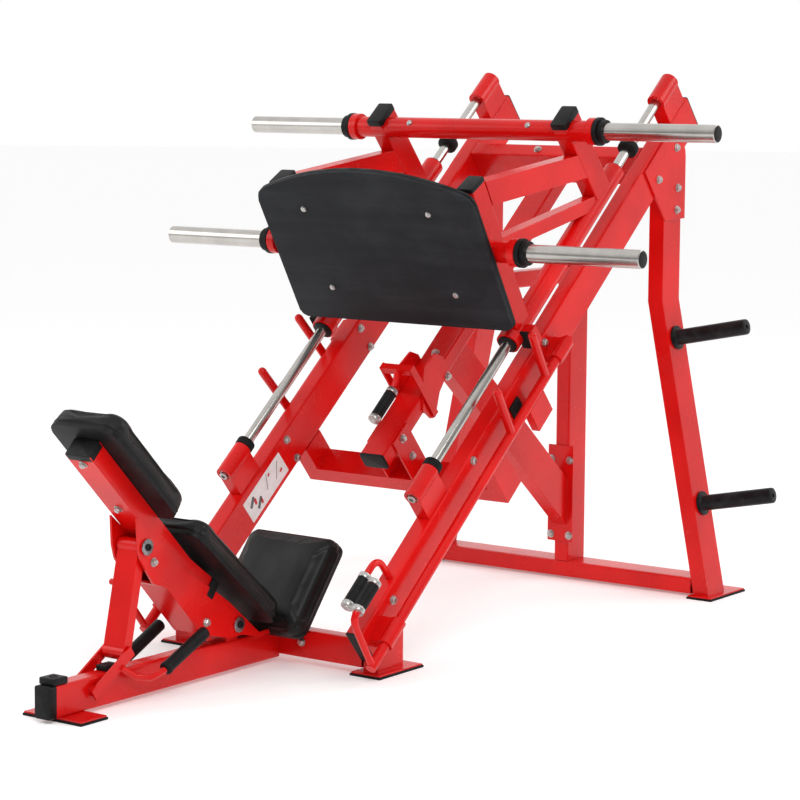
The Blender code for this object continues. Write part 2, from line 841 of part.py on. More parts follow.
def build_back_frame():
    """The tube behind the back pads, its cheek plates down to the hinge, and the seat's bearers."""
    hinge = new_frame("back_hinge", MACHINE, BACK_HINGE)
    line = [(0.1418, 0.6480), (0.4750, 0.3125), (0.5800, 0.2360)]
    tube = band_tube(
        "back_frame", shifted(line, BACK_HINGE), (0.050, COLUMN_WIDTH), hinge, (0, 0, 0), ALONG_X
    )
    cheek = [
        (0.286, 0.462),
        (0.475, 0.300),
        (0.575, 0.240),
        (0.640, 0.196),
        (0.696, 0.150),
        (0.760, 0.098),
        (0.850, 0.1035),
        (0.992, 0.2755),
        (0.999, 0.264),
        (0.860, 0.093),
        (0.760, 0.086),
        (0.690, 0.104),
        (0.640, 0.104),
        (0.528, 0.131),
        (0.394, 0.273),
        (0.345, 0.290),
        (0.300, 0.352),
        (0.290, 0.387),
    ]
    for side, sign in SIDES:
        x = sign * 0.0429
        outline = shifted(cheek, BACK_HINGE)
        join(tube, prism(f"{side}_back_cheek", [outline], 0.0068, hinge, (x, 0, 0), ALONG_X, RED, True))
    floor_line = shifted([(0.350, 0.2915), (0.395, 0.276), (0.530, 0.1345)], BACK_HINGE)
    floor = prism(
        "back_floor", [band(floor_line, 0.003)], 0.0840, hinge, (0, 0, 0), ALONG_X, RED, True
    )
    pins = [floor]
    for name, at in (("hinge", BACK_HINGE), ("strut", STRUT_TOP)):
        across = (at.y - BACK_HINGE.y, at.z - BACK_HINGE.z)
        pins.append(round_bar(f"{name}_pin", PIN_RADIUS, (-0.046, 0.046), hinge, across, "X", RED, True))
        for side, sign in SIDES:
            ends = sorted((sign * 0.0455, sign * 0.0495))
            pins.append(
                round_bar(f"{name}_washer_{side}", 0.019, ends, hinge, across, "X", RED, True)
            )
    join(tube, *pins)
    return hinge


def build_pads(hinge):
    """Back pads lie on the tube; the seat pad lies on its bearers, square to the back."""
    thickness = 0.0605
    pads = (
        ("back_pad_upper", (0.2633, 0.6050), 45.2, 0.340),
        ("back_pad_lower", (0.6131, 0.2916), 41.0, 0.425),
    )
    for name, (y, z), angle, length in pads:
        outline = rounded_rectangle(0.220, length, 0.040, steps=4)
        location = (0, y - BACK_HINGE.y, z - BACK_HINGE.z)
        turn = (math.radians(-angle), 0, 0)
        prism(name, [outline], thickness, hinge, location, turn, VINYL)
    seat = [
        (0.948, 0.325),
        (0.958, 0.322),
        (0.989, 0.284),
        (0.985, 0.274),
        (0.848, 0.108),
        (0.790, 0.1035),
        (0.774, 0.109),
        (0.772, 0.120),
        (0.930, 0.318),
    ]
    outline = shifted(seat, BACK_HINGE)
    prism("seat_pad", [outline], 0.286, hinge, (0, 0, 0), ALONG_X, VINYL)


def build_lift_fork():
    """Two arms hinged on the spine, a shaft for the strut's foot and a hand lever on each side."""
    hinge = new_frame("fork_hinge", MACHINE, FORK_HINGE)
    reach = STRUT_FOOT - FORK_HINGE
    foot = (reach.y, reach.z)
    fork = round_bar("lift_fork", PIN_RADIUS, (-0.0425, 0.0425), hinge, (0, 0), "X", RED)
    shaft = round_bar("fork_shaft", 0.009, (-0.0425, 0.0425), hinge, foot, "X", RED, True)
    for side, sign in SIDES:
        x = sign * 0.0395
        start = Vector((-0.012, -0.007))
        end = Vector(foot) + Vector((0.012, 0.007))
        outline = band([start, end], 0.014)
        arm = prism(f"{side}_fork_arm", [outline], 0.006, hinge, (x, 0, 0), ALONG_X, RED, True)
        ends = sorted((sign * 0.0256, sign * 0.037))
        spacer = round_bar(f"{side}_fork_spacer", 0.013, ends, hinge, (0, 0), "X", RED, True)
        line = [
            (sign * 0.040, 0.085, 0.045),
            (sign * 0.046, 0.130, 0.015),
            (sign * 0.060, 0.170, 0.006),
            (sign * 0.072, 0.205, 0.018),
            (sign * 0.075, 0.363, 0.092),
        ]
        lever = bent_rod(f"{side}_lift_lever", line, 0.009, hinge, (0, 0, 0), RED, True)
        grip_line = [(sign * 0.0722, 0.215, 0.0227), (sign * 0.075, 0.360, 0.0906)]
        grip = bent_rod(f"{side}_lift_grip", grip_line, 0.0155, hinge, (0, 0, 0), RUBBER, True)
        join(fork, arm, spacer, lever, grip)
    join(fork, shaft)


def build_strut():
    """The link from the fork's shaft up to the back frame, loose on its upper pin."""
    foot_frame = new_frame("strut_hinge", MACHINE, STRUT_FOOT)
    reach = STRUT_TOP - STRUT_FOOT
    top = (reach.y, reach.z)
    half = 0.034
    strut = prism("strut", [band([(0, 0), top], 0.014)], 2 * half, foot_frame, (0, 0, 0), ALONG_X, RED)
    ends = (-half, half)
    foot_boss = round_bar("strut_foot_boss", 0.018, ends, foot_frame, (0, 0), "X", RED, True)
    top_boss = round_bar("strut_top_boss", 0.019, ends, foot_frame, top, "X", RED, True)
    side_boss = round_bar("strut_side_boss", 0.008, (-0.050, 0), foot_frame, (0.035, 0.165), "X", RED, True)
    foot_bore = round_bar("strut_foot_bore", 0.0095, (-0.1, 0.1), foot_frame, (0, 0), "X", RED, True)
    top_bore = round_bar("strut_top_bore", OPEN_PIVOT_BORE, (-0.1, 0.1), foot_frame, top, "X", RED, True)
    cut(join(strut, foot_boss, top_boss, side_boss), foot_bore, top_bore)


# ---------------------------------------------------------------- assembly

clear_scene()
PARTS = new_collection("leg_press_machine")
TOOLS = new_collection("cutters", hidden=True)
RED = finish("red_powder_coat", (0.62, 0.012, 0.008), 0.35)
RUBBER = finish("black_rubber", (0.015, 0.015, 0.016), 0.6)
VINYL = finish("black_vinyl", (0.018, 0.018, 0.019), 0.45)
CHROME = finish("hard_chrome", (0.75, 0.75, 0.76), 0.18, 1.0)

MACHINE = new_frame("machine", None, (0, -HALF_LENGTH, 0))
RAILS = new_frame("rails", MACHINE, ROD_FOOT, (RAIL_ANGLE, 0, 0))
CARRIAGE = new_frame("carriage", MACHINE, ROD_FOOT, (RAIL_ANGLE, 0, 0))
CARRIAGE_SIDE = new_frame("carriage_side_view", MACHINE)
PLATE = new_frame("foot_plate_face", MACHINE, PLATE_FACE, (PLATE_ANGLE, 0, 0))
TRIM = make_trimmers()

build_spine()
build_front_feet()
build_rails()
build_guide_rods()
build_lower_crossbar()
build_column()
build_rear_frame()
build_gussets()
build_storage_horns()
build_fixed_handles()
build_bearing_tubes()
build_carriage_frames()
build_weight_axles()
build_foot_plate()
build_stop_shafts()
build_range_lever()
build_pads(build_back_frame())
build_lift_fork()
build_strut()
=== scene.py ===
"""Looks for the leg press machine: finishes, trim, padding, fasteners and a plain studio.

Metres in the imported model's frame: +Y from the seat towards the high end of the rails, +Z up, and
the origin on the floor under the middle of the machine. Sizes inside the classes are measured in
the frame that each class names: MACHINE (Y from the spine's front end), RAILS (Y up the guide
rods, Z square to them) or PLATE (Y behind the foot plate, Z up it).
"""

import json
import logging
import math
from collections.abc import Iterable, Iterator, Sequence
from contextlib import contextmanager
from dataclasses import dataclass, field
from enum import Enum

import bmesh
import bpy
from mathutils import Matrix, Vector
from mathutils.bvhtree import BVHTree

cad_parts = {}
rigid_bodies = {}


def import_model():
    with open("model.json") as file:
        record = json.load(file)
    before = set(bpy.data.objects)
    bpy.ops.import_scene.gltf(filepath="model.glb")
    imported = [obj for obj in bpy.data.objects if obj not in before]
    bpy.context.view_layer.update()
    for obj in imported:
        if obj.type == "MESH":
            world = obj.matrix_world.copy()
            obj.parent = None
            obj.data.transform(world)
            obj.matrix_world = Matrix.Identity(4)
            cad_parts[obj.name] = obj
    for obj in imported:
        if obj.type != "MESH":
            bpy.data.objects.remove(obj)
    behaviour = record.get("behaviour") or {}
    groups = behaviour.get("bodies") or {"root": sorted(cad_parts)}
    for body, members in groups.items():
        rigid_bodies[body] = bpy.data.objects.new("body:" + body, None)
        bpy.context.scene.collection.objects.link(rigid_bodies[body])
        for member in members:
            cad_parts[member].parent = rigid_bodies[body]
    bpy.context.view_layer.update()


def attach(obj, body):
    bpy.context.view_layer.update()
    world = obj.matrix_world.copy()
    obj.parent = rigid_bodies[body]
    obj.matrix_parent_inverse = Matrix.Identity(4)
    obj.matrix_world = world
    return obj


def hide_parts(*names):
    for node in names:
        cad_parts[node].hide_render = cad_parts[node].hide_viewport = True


LOG = logging.getLogger("leg_press")
Pair = tuple[float, float]
Triple = tuple[float, float, float]

HALF_LENGTH = 1.245888
RAIL_ANGLE = math.radians(40.2)
PLATE_ANGLE = math.radians(30.66)
MACHINE = Matrix.Translation((0, -HALF_LENGTH, 0))
RAILS = MACHINE @ Matrix.Translation((0, 1.0554, 0.4417)) @ Matrix.Rotation(RAIL_ANGLE, 4, "X")
PLATE = MACHINE @ Matrix.Translation((0, 1.404, 0.951)) @ Matrix.Rotation(PLATE_ANGLE, 4, "X")
SIDES = (("right", 1), ("left", -1))
ROD_X = 0.3216
SMOOTH_ANGLE = math.radians(35)


class Along(Enum):
    """The axis of its frame that a turned piece lies on."""

    X = Matrix.Rotation(math.radians(90), 4, "Y")
    Y = Matrix.Rotation(math.radians(-90), 4, "X")
    Z = Matrix.Identity(4)


# ---------------------------------------------------------------- shader maths


class Wire:
    """A number's socket in a node tree. Sums and products on it add Math nodes."""

    def __init__(self, tree: "Tree", socket: bpy.types.NodeSocket) -> None:
        """Keep the tree and the socket."""
        self.tree = tree
        self.socket = socket

    def _math(self, operation: str, first: "Wire | float", second: "Wire | float") -> "Wire":
        """Add one Math node.

        Args:
            operation: the node's operation.
            first: its first term.
            second: its second term.

        Returns:
            The node's result.
        """
        return self.tree.add("ShaderNodeMath", {"operation": operation}, {0: first, 1: second})

    def __add__(self, other: "Wire | float") -> "Wire":
        """self + other."""
        return self._math("ADD", self, other)

    def __radd__(self, other: float) -> "Wire":
        """other + self."""
        return self._math("ADD", other, self)

    def __sub__(self, other: "Wire | float") -> "Wire":
        """self - other."""
        return self._math("SUBTRACT", self, other)

    def __rsub__(self, other: float) -> "Wire":
        """other - self."""
        return self._math("SUBTRACT", other, self)

    def __mul__(self, other: "Wire | float") -> "Wire":
        """self * other."""
        return self._math("MULTIPLY", self, other)

    def __rmul__(self, other: float) -> "Wire":
        """other * self."""
        return self._math("MULTIPLY", other, self)

    def over(self, low: float, high: float) -> "Wire":
        """0 below low, 1 above high, and smooth between them.

        Args:
            low: where the ramp starts.
            high: where the ramp ends.

        Returns:
            The eased value.
        """
        inputs = {"Value": self, "From Min": low, "From Max": high}
        return self.tree.add("ShaderNodeMapRange", {"interpolation_type": "SMOOTHSTEP"}, inputs)


class Tree:
    """A material's node tree, and the one way that nodes are added to it."""

    def __init__(self, name: str) -> None:
        """Start a material with only its shader and its output.

        Args:
            name: the material's name.
        """
        self.material = bpy.data.materials.new(name)
        self.material.use_nodes = True
        self.nodes = self.material.node_tree.nodes
        self.links = self.material.node_tree.links
        self.shader = self.nodes["Principled BSDF"]

    def add(
        self,
        kind: str,
        settings: dict[str, object] | None = None,
        inputs: dict[str | int, object] | None = None,
        output: str | int = 0,
    ) -> Wire:
        """Add a node of any type.

        Args:
            kind: the node's type.
            settings: its own settings, which are set first.
            inputs: values or wires by socket name or number.
            output: the socket that is read.

        Returns:
            The wire from that output.
        """
        node = self.nodes.new(kind)
        for name, value in (settings or {}).items():
            setattr(node, name, value)
        for name, value in (inputs or {}).items():
            self.feed(node.inputs[name], value)
        return Wire(self, node.outputs[output])

    def feed(self, socket: bpy.types.NodeSocket, value: object) -> None:
        """Link a wire to a socket, or set the socket's own value.

        Args:
            socket: the input.
            value: a wire, number, colour or vector.
        """
        if isinstance(value, Wire):
            self.links.new(value.socket, socket)
        else:
            socket.default_value = value

    def place(self, scale: Triple = (1, 1, 1), turn: float = 0.0) -> Wire:
        """Object coordinates, turned about X and stretched.

        Args:
            scale: the stretch along each axis.
            turn: the angle about X, in radians.

        Returns:
            The vector's wire.
        """
        here = self.add("ShaderNodeTexCoord", output="Object")
        turned = self.add("ShaderNodeMapping", {}, {"Vector": here, "Rotation": (turn, 0, 0)})
        return self.add("ShaderNodeMapping", {}, {"Vector": turned, "Scale": scale})

    def noise(self, where: Wire, scale: float, detail: float = 2.0, rough: float = 0.5) -> Wire:
        """Cloudy noise.

        Args:
            where: the point's wire.
            scale: features per metre.
            detail: the number of finer layers.
            rough: how strong the finer layers are.

        Returns:
            The noise, from 0 to 1.
        """
        inputs = {"Vector": where, "Scale": scale, "Detail": detail, "Roughness": rough}
        return self.add("ShaderNodeTexNoise", {}, inputs)

    def cells(self, where: Wire, scale: float, feature: str = "F1") -> Wire:
        """Distance to the nearest cell centre or edge.

        Args:
            where: the point's wire.
            scale: cells per metre.
            feature: the Voronoi feature.

        Returns:
            The distance.
        """
        inputs = {"Vector": where, "Scale": scale}
        return self.add("ShaderNodeTexVoronoi", {"feature": feature}, inputs)

    def blend(self, share: Wire, low: Sequence[float], high: Sequence[float]) -> Wire:
        """Mix two colours.

        Args:
            share: 0 for low and 1 for high.
            low: the first colour.
            high: the second colour.

        Returns:
            The mixed colour.
        """
        inputs = {0: share, 6: (*low, 1), 7: (*high, 1)}
        return self.add("ShaderNodeMix", {"data_type": "RGBA"}, inputs, 2)

    def bump(self, height: Wire, depth: float, strength: float = 1.0) -> None:
        """Feed the shader's normal from a height.

        Args:
            height: the height, from 0 to 1.
            depth: what 1 stands for, in metres.
            strength: the share of the relief that shows.
        """
        inputs = {"Height": height, "Distance": depth, "Strength": strength}
        self.set(Normal=self.add("ShaderNodeBump", {}, inputs))

    def set(self, **values: object) -> None:
        """Feed the shader's sockets, with underscores for the spaces in their names."""
        for name, value in values.items():
            self.feed(self.shader.inputs[name.replace("_", " ")], value)


@dataclass(frozen=True)
class Finish:
    """A surface finish. Each kind writes its own nodes in dress()."""

    name: str
    slot: str

    def material(self) -> bpy.types.Material:
        """The finish's material, made the first time that it is asked for.

        Returns:
            The material.
        """
        found = bpy.data.materials.get(self.name)
        if found is None:
            tree = Tree(self.name)
            self.dress(tree)
            found = tree.material
        return found

    def dress(self, tree: Tree) -> None:
        """Write the finish into a tree."""
        raise NotImplementedError


@dataclass(frozen=True)
class PowderCoat(Finish):
    """Baked gloss paint with a faint orange-peel skin and slightly duller rubbed patches."""

    light: Triple = (0.72, 0.0045, 0.0035)
    deep: Triple = (0.58, 0.0030, 0.0025)
    gloss: float = 0.24

    def dress(self, tree: Tree) -> None:
        """Write the paint into a tree."""
        where = tree.place()
        drift = tree.noise(where, 5, 2)
        rubs = tree.noise(tree.place(), 16, 5, 0.6).over(0.5, 0.8)
        peel = tree.noise(where, 420, 1)
        grit = tree.noise(where, 90, 2)
        tree.set(Base_Color=tree.blend(drift.over(0.3, 0.75), self.deep, self.light))
        tree.set(Roughness=self.gloss + 0.03 * grit + 0.05 * rubs)
        tree.set(Coat_Weight=0.12 - 0.06 * rubs)
        tree.shader.inputs["Coat Roughness"].default_value = 0.10
        tree.shader.inputs["Specular IOR Level"].default_value = 0.24
        tree.bump(peel + 0.4 * grit, 0.00004, 0.4)


@dataclass(frozen=True)
class PolishedBar(Finish):
    """Hard chrome with fine grinding lines square to the bar."""

    stretch: Triple = (1500, 12, 12)
    turn: float = 0.0
    tint: Triple = (0.56, 0.535, 0.505)
    dull: Triple = (0.45, 0.43, 0.405)

    def dress(self, tree: Tree) -> None:
        """Write the metal into a tree."""
        lines = tree.noise(tree.place(self.stretch, self.turn), 1, 2, 0.5)
        haze = tree.noise(tree.place(), 14, 3)
        tree.set(Base_Color=tree.blend((0.3 * lines + 0.7 * haze).over(0.3, 0.7), self.dull, self.tint))
        tree.set(Metallic=1.0, Roughness=0.15 + 0.05 * lines + 0.05 * haze)
        tree.bump(lines, 0.000008, 0.25)


@dataclass(frozen=True)
class PlatedSteel(Finish):
    """Zinc-plated fasteners, with a little handling wear."""

    tint: Triple = (0.62, 0.61, 0.59)
    dull: Triple = (0.36, 0.35, 0.34)

    def dress(self, tree: Tree) -> None:
        """Write the metal into a tree."""
        wear = tree.noise(tree.place(), 260, 3)
        tree.set(Base_Color=tree.blend(wear.over(0.3, 0.7), self.dull, self.tint))
        tree.set(Metallic=1.0, Roughness=0.24 + 0.22 * wear)
        tree.bump(wear, 0.00008, 0.5)


@dataclass(frozen=True)
class Upholstery(Finish):
    """Satin vinyl with a fine pebbled grain, and random cloudy patches that have a thin real coat and a
    lighter base colour that is painted sheen.
    """

    dark: Triple = (0.0045, 0.0045, 0.0045)
    # The lighter colour of the sheen patches: painted sheen, not wear.
    painted_sheen: Triple = (0.010, 0.010, 0.010)

    def dress(self, tree: Tree) -> None:
        """Write the vinyl into a tree."""
        where = tree.place()
        grain = tree.cells(where, 900)
        folds = tree.noise(where, 300, 3, 0.6)
        sheen = tree.noise(where, 9, 3)
        # Lighter base colour where the sheen noise is high: painted sheen. The coat and roughness on the same
        # patches are real gloss.
        tree.set(Base_Color=tree.blend(sheen.over(0.35, 0.75), self.dark, self.painted_sheen))
        tree.set(Roughness=0.30 + 0.12 * sheen + 0.10 * folds)
        tree.set(Coat_Weight=0.10 * sheen.over(0.4, 0.7))
        tree.shader.inputs["Coat Roughness"].default_value = 0.35
        tree.shader.inputs["Specular IOR Level"].default_value = 0.20
        tree.bump(grain * 0.7 + folds * 0.6, 0.00022, 0.55)


@dataclass(frozen=True)
class MouldedBlack(Finish):
    """Black rubber or plastic, from matt to satin."""

    dark: Triple = (0.0045, 0.0045, 0.005)
    light: Triple = (0.011, 0.011, 0.012)
    roughness: float = 0.5
    grain: float = 500.0

    def dress(self, tree: Tree) -> None:
        """Write the rubber or plastic into a tree."""
        where = tree.place()
        cloud = tree.noise(where, 30, 4, 0.6)
        fine = tree.noise(where, self.grain, 2)
        tree.set(Base_Color=tree.blend(cloud.over(0.35, 0.7), self.dark, self.light))
        tree.set(Roughness=self.roughness + 0.18 * (cloud - 0.5))
        tree.shader.inputs["Specular IOR Level"].default_value = 0.16
        tree.bump(fine, 0.00018, 0.6)


@dataclass(frozen=True)
class TreadMat(Finish):
    """Rubber sheet on the foot plate: clouded, a little dusty, with faint rubbing marks."""

    dark: Triple = (0.0055, 0.0065, 0.0085)
    dusty: Triple = (0.017, 0.019, 0.023)

    def dress(self, tree: Tree) -> None:
        """Write the mat into a tree."""
        where = tree.place()
        dust = tree.noise(where, 7, 6, 0.62)
        rubs = tree.noise(tree.place((3, 26, 26)), 1, 5, 0.6)
        pips = tree.cells(where, 420)
        mottle = (0.6 * dust + 0.4 * rubs).over(0.40, 0.68)
        tree.set(Base_Color=tree.blend(mottle, self.dark, self.dusty))
        tree.set(Roughness=0.58 + 0.16 * dust)
        tree.shader.inputs["Specular IOR Level"].default_value = 0.25
        tree.bump(pips + 0.5 * dust, 0.0003, 0.5)


@dataclass(frozen=True)
class PrintedFilm(Finish):
    """A plain printed film in one ink."""

    ink: Triple = (0.80, 0.80, 0.79)

    def dress(self, tree: Tree) -> None:
        """Write the film into a tree."""
        age = tree.noise(tree.place(), 40, 4)
        faded = tuple(0.86 * part for part in self.ink)
        tree.set(Base_Color=tree.blend(age.over(0.35, 0.8), self.ink, faded), Roughness=0.3 + 0.2 * age)


@dataclass(frozen=True)
class StudioPaper(Finish):
    """Seamless pale paper."""

    def dress(self, tree: Tree) -> None:
        """Write the paper into a tree."""
        fibre = tree.noise(tree.place(), 120, 3)
        tree.set(Base_Color=tree.blend(fibre, (0.86, 0.86, 0.86), (0.89, 0.89, 0.89)), Roughness=0.8)
        tree.shader.inputs["Emission Color"].default_value = (1, 1, 1, 1)
        tree.shader.inputs["Emission Strength"].default_value = 0.22


RED = PowderCoat("red_powder_coat", "red_paint")
ROD_CHROME = PolishedBar("ground_rod_chrome", "hard_chrome", (12, 1500, 12), -RAIL_ANGLE)
SLEEVE_CHROME = PolishedBar("turned_sleeve_chrome", "hard_chrome")
STEEL = PlatedSteel("plated_fastener_steel", "hard_chrome")
WASHER = PlatedSteel("dull_washer_steel", "hard_chrome", (0.34, 0.34, 0.35), (0.18, 0.18, 0.19))
VINYL = Upholstery("black_seat_vinyl", "black_vinyl")
CAP = MouldedBlack("black_end_cap", "black_rubber", roughness=0.46)
RUBBER = MouldedBlack("black_foot_rubber", "black_rubber", roughness=0.68, grain=320)
GRIP = MouldedBlack("black_hand_grip", "black_grip", roughness=0.52, grain=700)
HORN = MouldedBlack("black_peg_sleeve", "black_horn", (0.006, 0.006, 0.007), (0.016, 0.016, 0.017), 0.34)
TREAD = TreadMat("foot_plate_mat", "foot_plate_tread")
FILM = PrintedFilm("white_guide_film", "red_paint")
INK = PrintedFilm("grey_guide_ink", "red_paint", (0.10, 0.11, 0.12))
RED_INK = PrintedFilm("red_guide_ink", "red_paint", (0.55, 0.02, 0.02))
PAPER = StudioPaper("pale_paper", "")


# ---------------------------------------------------------------- mesh making


def circle(radius: float, sides: int = 32) -> list[Pair]:
    """The points of a circle about the origin.

    Args:
        radius: its radius.
        sides: how many points.

    Returns:
        The points.
    """
    turns = (2 * math.pi * i / sides for i in range(sides))
    return [(radius * math.cos(t), radius * math.sin(t)) for t in turns]


def rounded_box(width: float, height: float, radius: float, steps: int = 4) -> list[Pair]:
    """The outline of a rectangle with round corners, about the origin.

    Args:
        width: its size along the first axis.
        height: its size along the second axis.
        radius: of the corners.
        steps: segments to a corner.

    Returns:
        The points.
    """
    x, y = width / 2 - radius, height / 2 - radius
    points = []
    for cx, cy, start in ((x, y, 0), (-x, y, 90), (-x, -y, 180), (x, -y, 270)):
        for i in range(steps + 1):
            a = math.radians(start + 90 * i / steps)
            points.append((cx + radius * math.cos(a), cy + radius * math.sin(a)))
    return points


def arc(radius: float, centre: Pair, start: float, end: float, steps: int) -> list[Pair]:
    """Points on an arc.

    Args:
        radius: of the arc.
        centre: of the arc.
        start: its first angle, in degrees.
        end: its last angle, in degrees.
        steps: segments along it.

    Returns:
        The points.
    """
    angles = [math.radians(start + (end - start) * i / steps) for i in range(steps + 1)]
    return [(centre[0] + radius * math.cos(a), centre[1] + radius * math.sin(a)) for a in angles]


def capped(start: float, end: float, radius: float, edge: float = 0.0015) -> list[Pair]:
    """The profile of a solid bar with rounded rims, as (place along it, radius) points.

    Args:
        start: one end.
        end: the other end.
        radius: of the bar.
        edge: the rim's rounding.

    Returns:
        The profile.
    """
    rim = [(edge * (1 - math.cos(a)), radius - edge * (1 - math.sin(a))) for a in (0, 0.785, 1.571)]
    low = [(start + along, r) for along, r in rim]
    return [(start, 0), *low, *[(end - (p[0] - start), p[1]) for p in reversed(low)], (end, 0)]


class Shape:
    """One piece in the making. Its points are in the frame that is in use when they are added."""

    def __init__(self, name: str, frame: Matrix = MACHINE) -> None:
        """Start an empty shape.

        Args:
            name: the piece's name.
            frame: the frame that its sizes are measured in.
        """
        self.name = name
        self.frame = frame
        self.work = bmesh.new()
        self.finishes: list[Finish] = []

    @contextmanager
    def _solid(self, finish: Finish) -> Iterator[None]:
        """Give a finish to the faces that are added meanwhile.

        Args:
            finish: the faces' finish.

        Yields:
            Nothing.
        """
        before = set(self.work.faces)
        yield
        if finish not in self.finishes:
            self.finishes.append(finish)
        for face in self.work.faces:
            if face not in before:
                face.material_index = self.finishes.index(finish)

    def turned(
        self, profile: Sequence[Pair], at: Triple, along: Along, finish: Finish, sides: int = 48
    ) -> None:
        """Add a turned solid.

        Args:
            profile: (place along the axis, radius) points, closed by a point at each end of the axis.
            at: a point of the axis where the place along it is 0.
            along: the axis's direction.
            finish: the solid's finish.
            sides: segments round it.
        """
        matrix = self.frame @ Matrix.Translation(at) @ along.value
        with self._solid(finish):
            rings = []
            for z, radius in profile:
                if radius < 1e-6:
                    rings.append([self.work.verts.new(matrix @ Vector((0, 0, z)))])
                else:
                    points = circle(radius, sides)
                    rings.append([self.work.verts.new(matrix @ Vector((x, y, z))) for x, y in points])
            for low, high in zip(rings, rings[1:]):
                for i in range(sides):
                    j = (i + 1) % sides
                    ring = [low[i % len(low)], low[j % len(low)], high[j % len(high)], high[i % len(high)]]
                    self.work.faces.new(list(dict.fromkeys(ring)))

    def drawn(
        self, outline: Sequence[Pair], low: float, high: float, at: Matrix, finish: Finish, edge: float
    ) -> None:
        """Add an outline drawn out along its own Z, with its rims rounded.

        Args:
            outline: the points of the outline.
            low: where it starts along Z.
            high: where it ends along Z.
            at: the outline's place in the shape's frame.
            finish: the solid's finish.
            edge: the rims' rounding.
        """
        matrix = self.frame @ at
        with self._solid(finish):
            rings = [
                [self.work.verts.new(matrix @ Vector((x, y, z))) for x, y in outline] for z in (low, high)
            ]
            ends = [self.work.faces.new(rings[0][::-1]), self.work.faces.new(rings[1])]
            count = len(outline)
            for i in range(count):
                j = (i + 1) % count
                self.work.faces.new((rings[0][i], rings[0][j], rings[1][j], rings[1][i]))
            rims = [e for face in ends for e in face.edges]
            bmesh.ops.bevel(
                self.work, geom=rims, offset=edge, segments=3, profile=0.5, affect="EDGES", clamp_overlap=True
            )

    def block(self, low: Triple, high: Triple, finish: Finish, edge: float = 0.002) -> None:
        """Add a box between two corners, rounded on every edge.

        Args:
            low: the lowest corner.
            high: the highest corner.
            finish: the solid's finish.
            edge: the rounding.
        """
        size = [b - a for a, b in zip(low, high)]
        middle = Vector([(a + b) / 2 for a, b in zip(low, high)])
        matrix = self.frame @ Matrix.Translation(middle) @ Matrix.Diagonal((*size, 1))
        with self._solid(finish):
            made = bmesh.ops.create_cube(self.work, size=1, matrix=matrix)
            edges = list({e for v in made["verts"] for e in v.link_edges})
            bmesh.ops.bevel(
                self.work,
                geom=edges,
                offset=edge,
                segments=3,
                profile=0.5,
                affect="EDGES",
                clamp_overlap=True,
            )

    def rod(self, line: Sequence[Triple], radius: float, finish: Finish, sides: int = 24) -> None:
        """Add a round bar along a line, with domed ends.

        Args:
            line: the points of its middle.
            radius: of the bar.
            finish: the solid's finish.
            sides: segments round it.
        """
        points = [self.frame @ Vector(p) for p in line]
        ways = [(b - a).normalized() for a, b in zip(points, points[1:])]
        side = ways[0].orthogonal().normalized()
        rings = []
        with self._solid(finish):
            for i, point in enumerate(points):
                way = (ways[max(i - 1, 0)] + ways[min(i, len(ways) - 1)]).normalized()
                side = (side - way * side.dot(way)).normalized()
                other = way.cross(side)
                dome = [0.0]
                if i in (0, len(points) - 1):
                    dome = [1.0, 0.8, 0.45, 0.0] if i == 0 else [0.0, 0.45, 0.8, 1.0]
                for height in dome:
                    shrink = math.sqrt(1 - min(height, 0.99) ** 2)
                    push = way * (0.35 * radius * height * (-1 if i == 0 else 1))
                    ring = [
                        self.work.verts.new(point + push + (side * x + other * y) * shrink)
                        for x, y in circle(radius, sides)
                    ]
                    rings.append(ring)
            self.work.faces.new(rings[0][::-1])
            self.work.faces.new(rings[-1])
            for low, high in zip(rings, rings[1:]):
                for i in range(sides):
                    j = (i + 1) % sides
                    self.work.faces.new((low[i], low[j], high[j], high[i]))

    def copy_of(self, node: str, finish: Finish) -> None:
        """Add a CAD node's surface, with its loose triangles merged into flat faces.

        Args:
            node: the node's name.
            finish: the surface's finish.
        """
        with self._solid(finish):
            self.work.from_mesh(bpy.data.objects[node].data)
            bmesh.ops.remove_doubles(self.work, verts=self.work.verts, dist=0.00002)
            bmesh.ops.dissolve_limit(
                self.work, angle_limit=math.radians(0.4), verts=self.work.verts, edges=self.work.edges
            )

    def done(
        self, body: str, replaces: Iterable[str] = (), soften: float = 0.0
    ) -> bpy.types.Object:
        """Make the piece and hand it to its body.

        Args:
            body: the CAD body that it rides on.
            replaces: the CAD nodes that it stands for.
            soften: the width of a bevel on its sharp edges, or 0 for none.

        Returns:
            The piece.
        """
        bmesh.ops.recalc_face_normals(self.work, faces=self.work.faces)
        mesh = bpy.data.meshes.new(self.name)
        self.work.to_mesh(mesh)
        self.work.free()
        for finish in self.finishes:
            mesh.materials.append(finish.material())
        mesh.shade_smooth()
        mesh.set_sharp_from_angle(angle=SMOOTH_ANGLE)
        piece = bpy.data.objects.new(self.name, mesh)
        bpy.context.scene.collection.objects.link(piece)
        if soften:
            bevel = piece.modifiers.new("eased_edges", "BEVEL")
            bevel.width = soften
            bevel.segments = 2
            bevel.limit_method = "ANGLE"
            bevel.angle_limit = math.radians(40)
            bevel.miter_outer = "MITER_ARC"
            even = piece.modifiers.new("even_shading", "WEIGHTED_NORMAL")
            even.keep_sharp = True
        return hand_over(piece, body, replaces)


def hand_over(
    piece: bpy.types.Object, body: str, replaces: Iterable[str] = ()
) -> bpy.types.Object:
    """Tell the frame what a finished piece rides on and stands for, and log it.

    Args:
        piece: the piece.
        body: the CAD body that it rides on.
        replaces: the CAD nodes that it stands for.

    Returns:
        The piece.
    """
    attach(piece, body)
    nodes = tuple(replaces)
    if nodes:
        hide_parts(*nodes)
    LOG.info("%s rides on %s", piece.name, body)
    return piece


# ---------------------------------------------------------------- geometry nodes


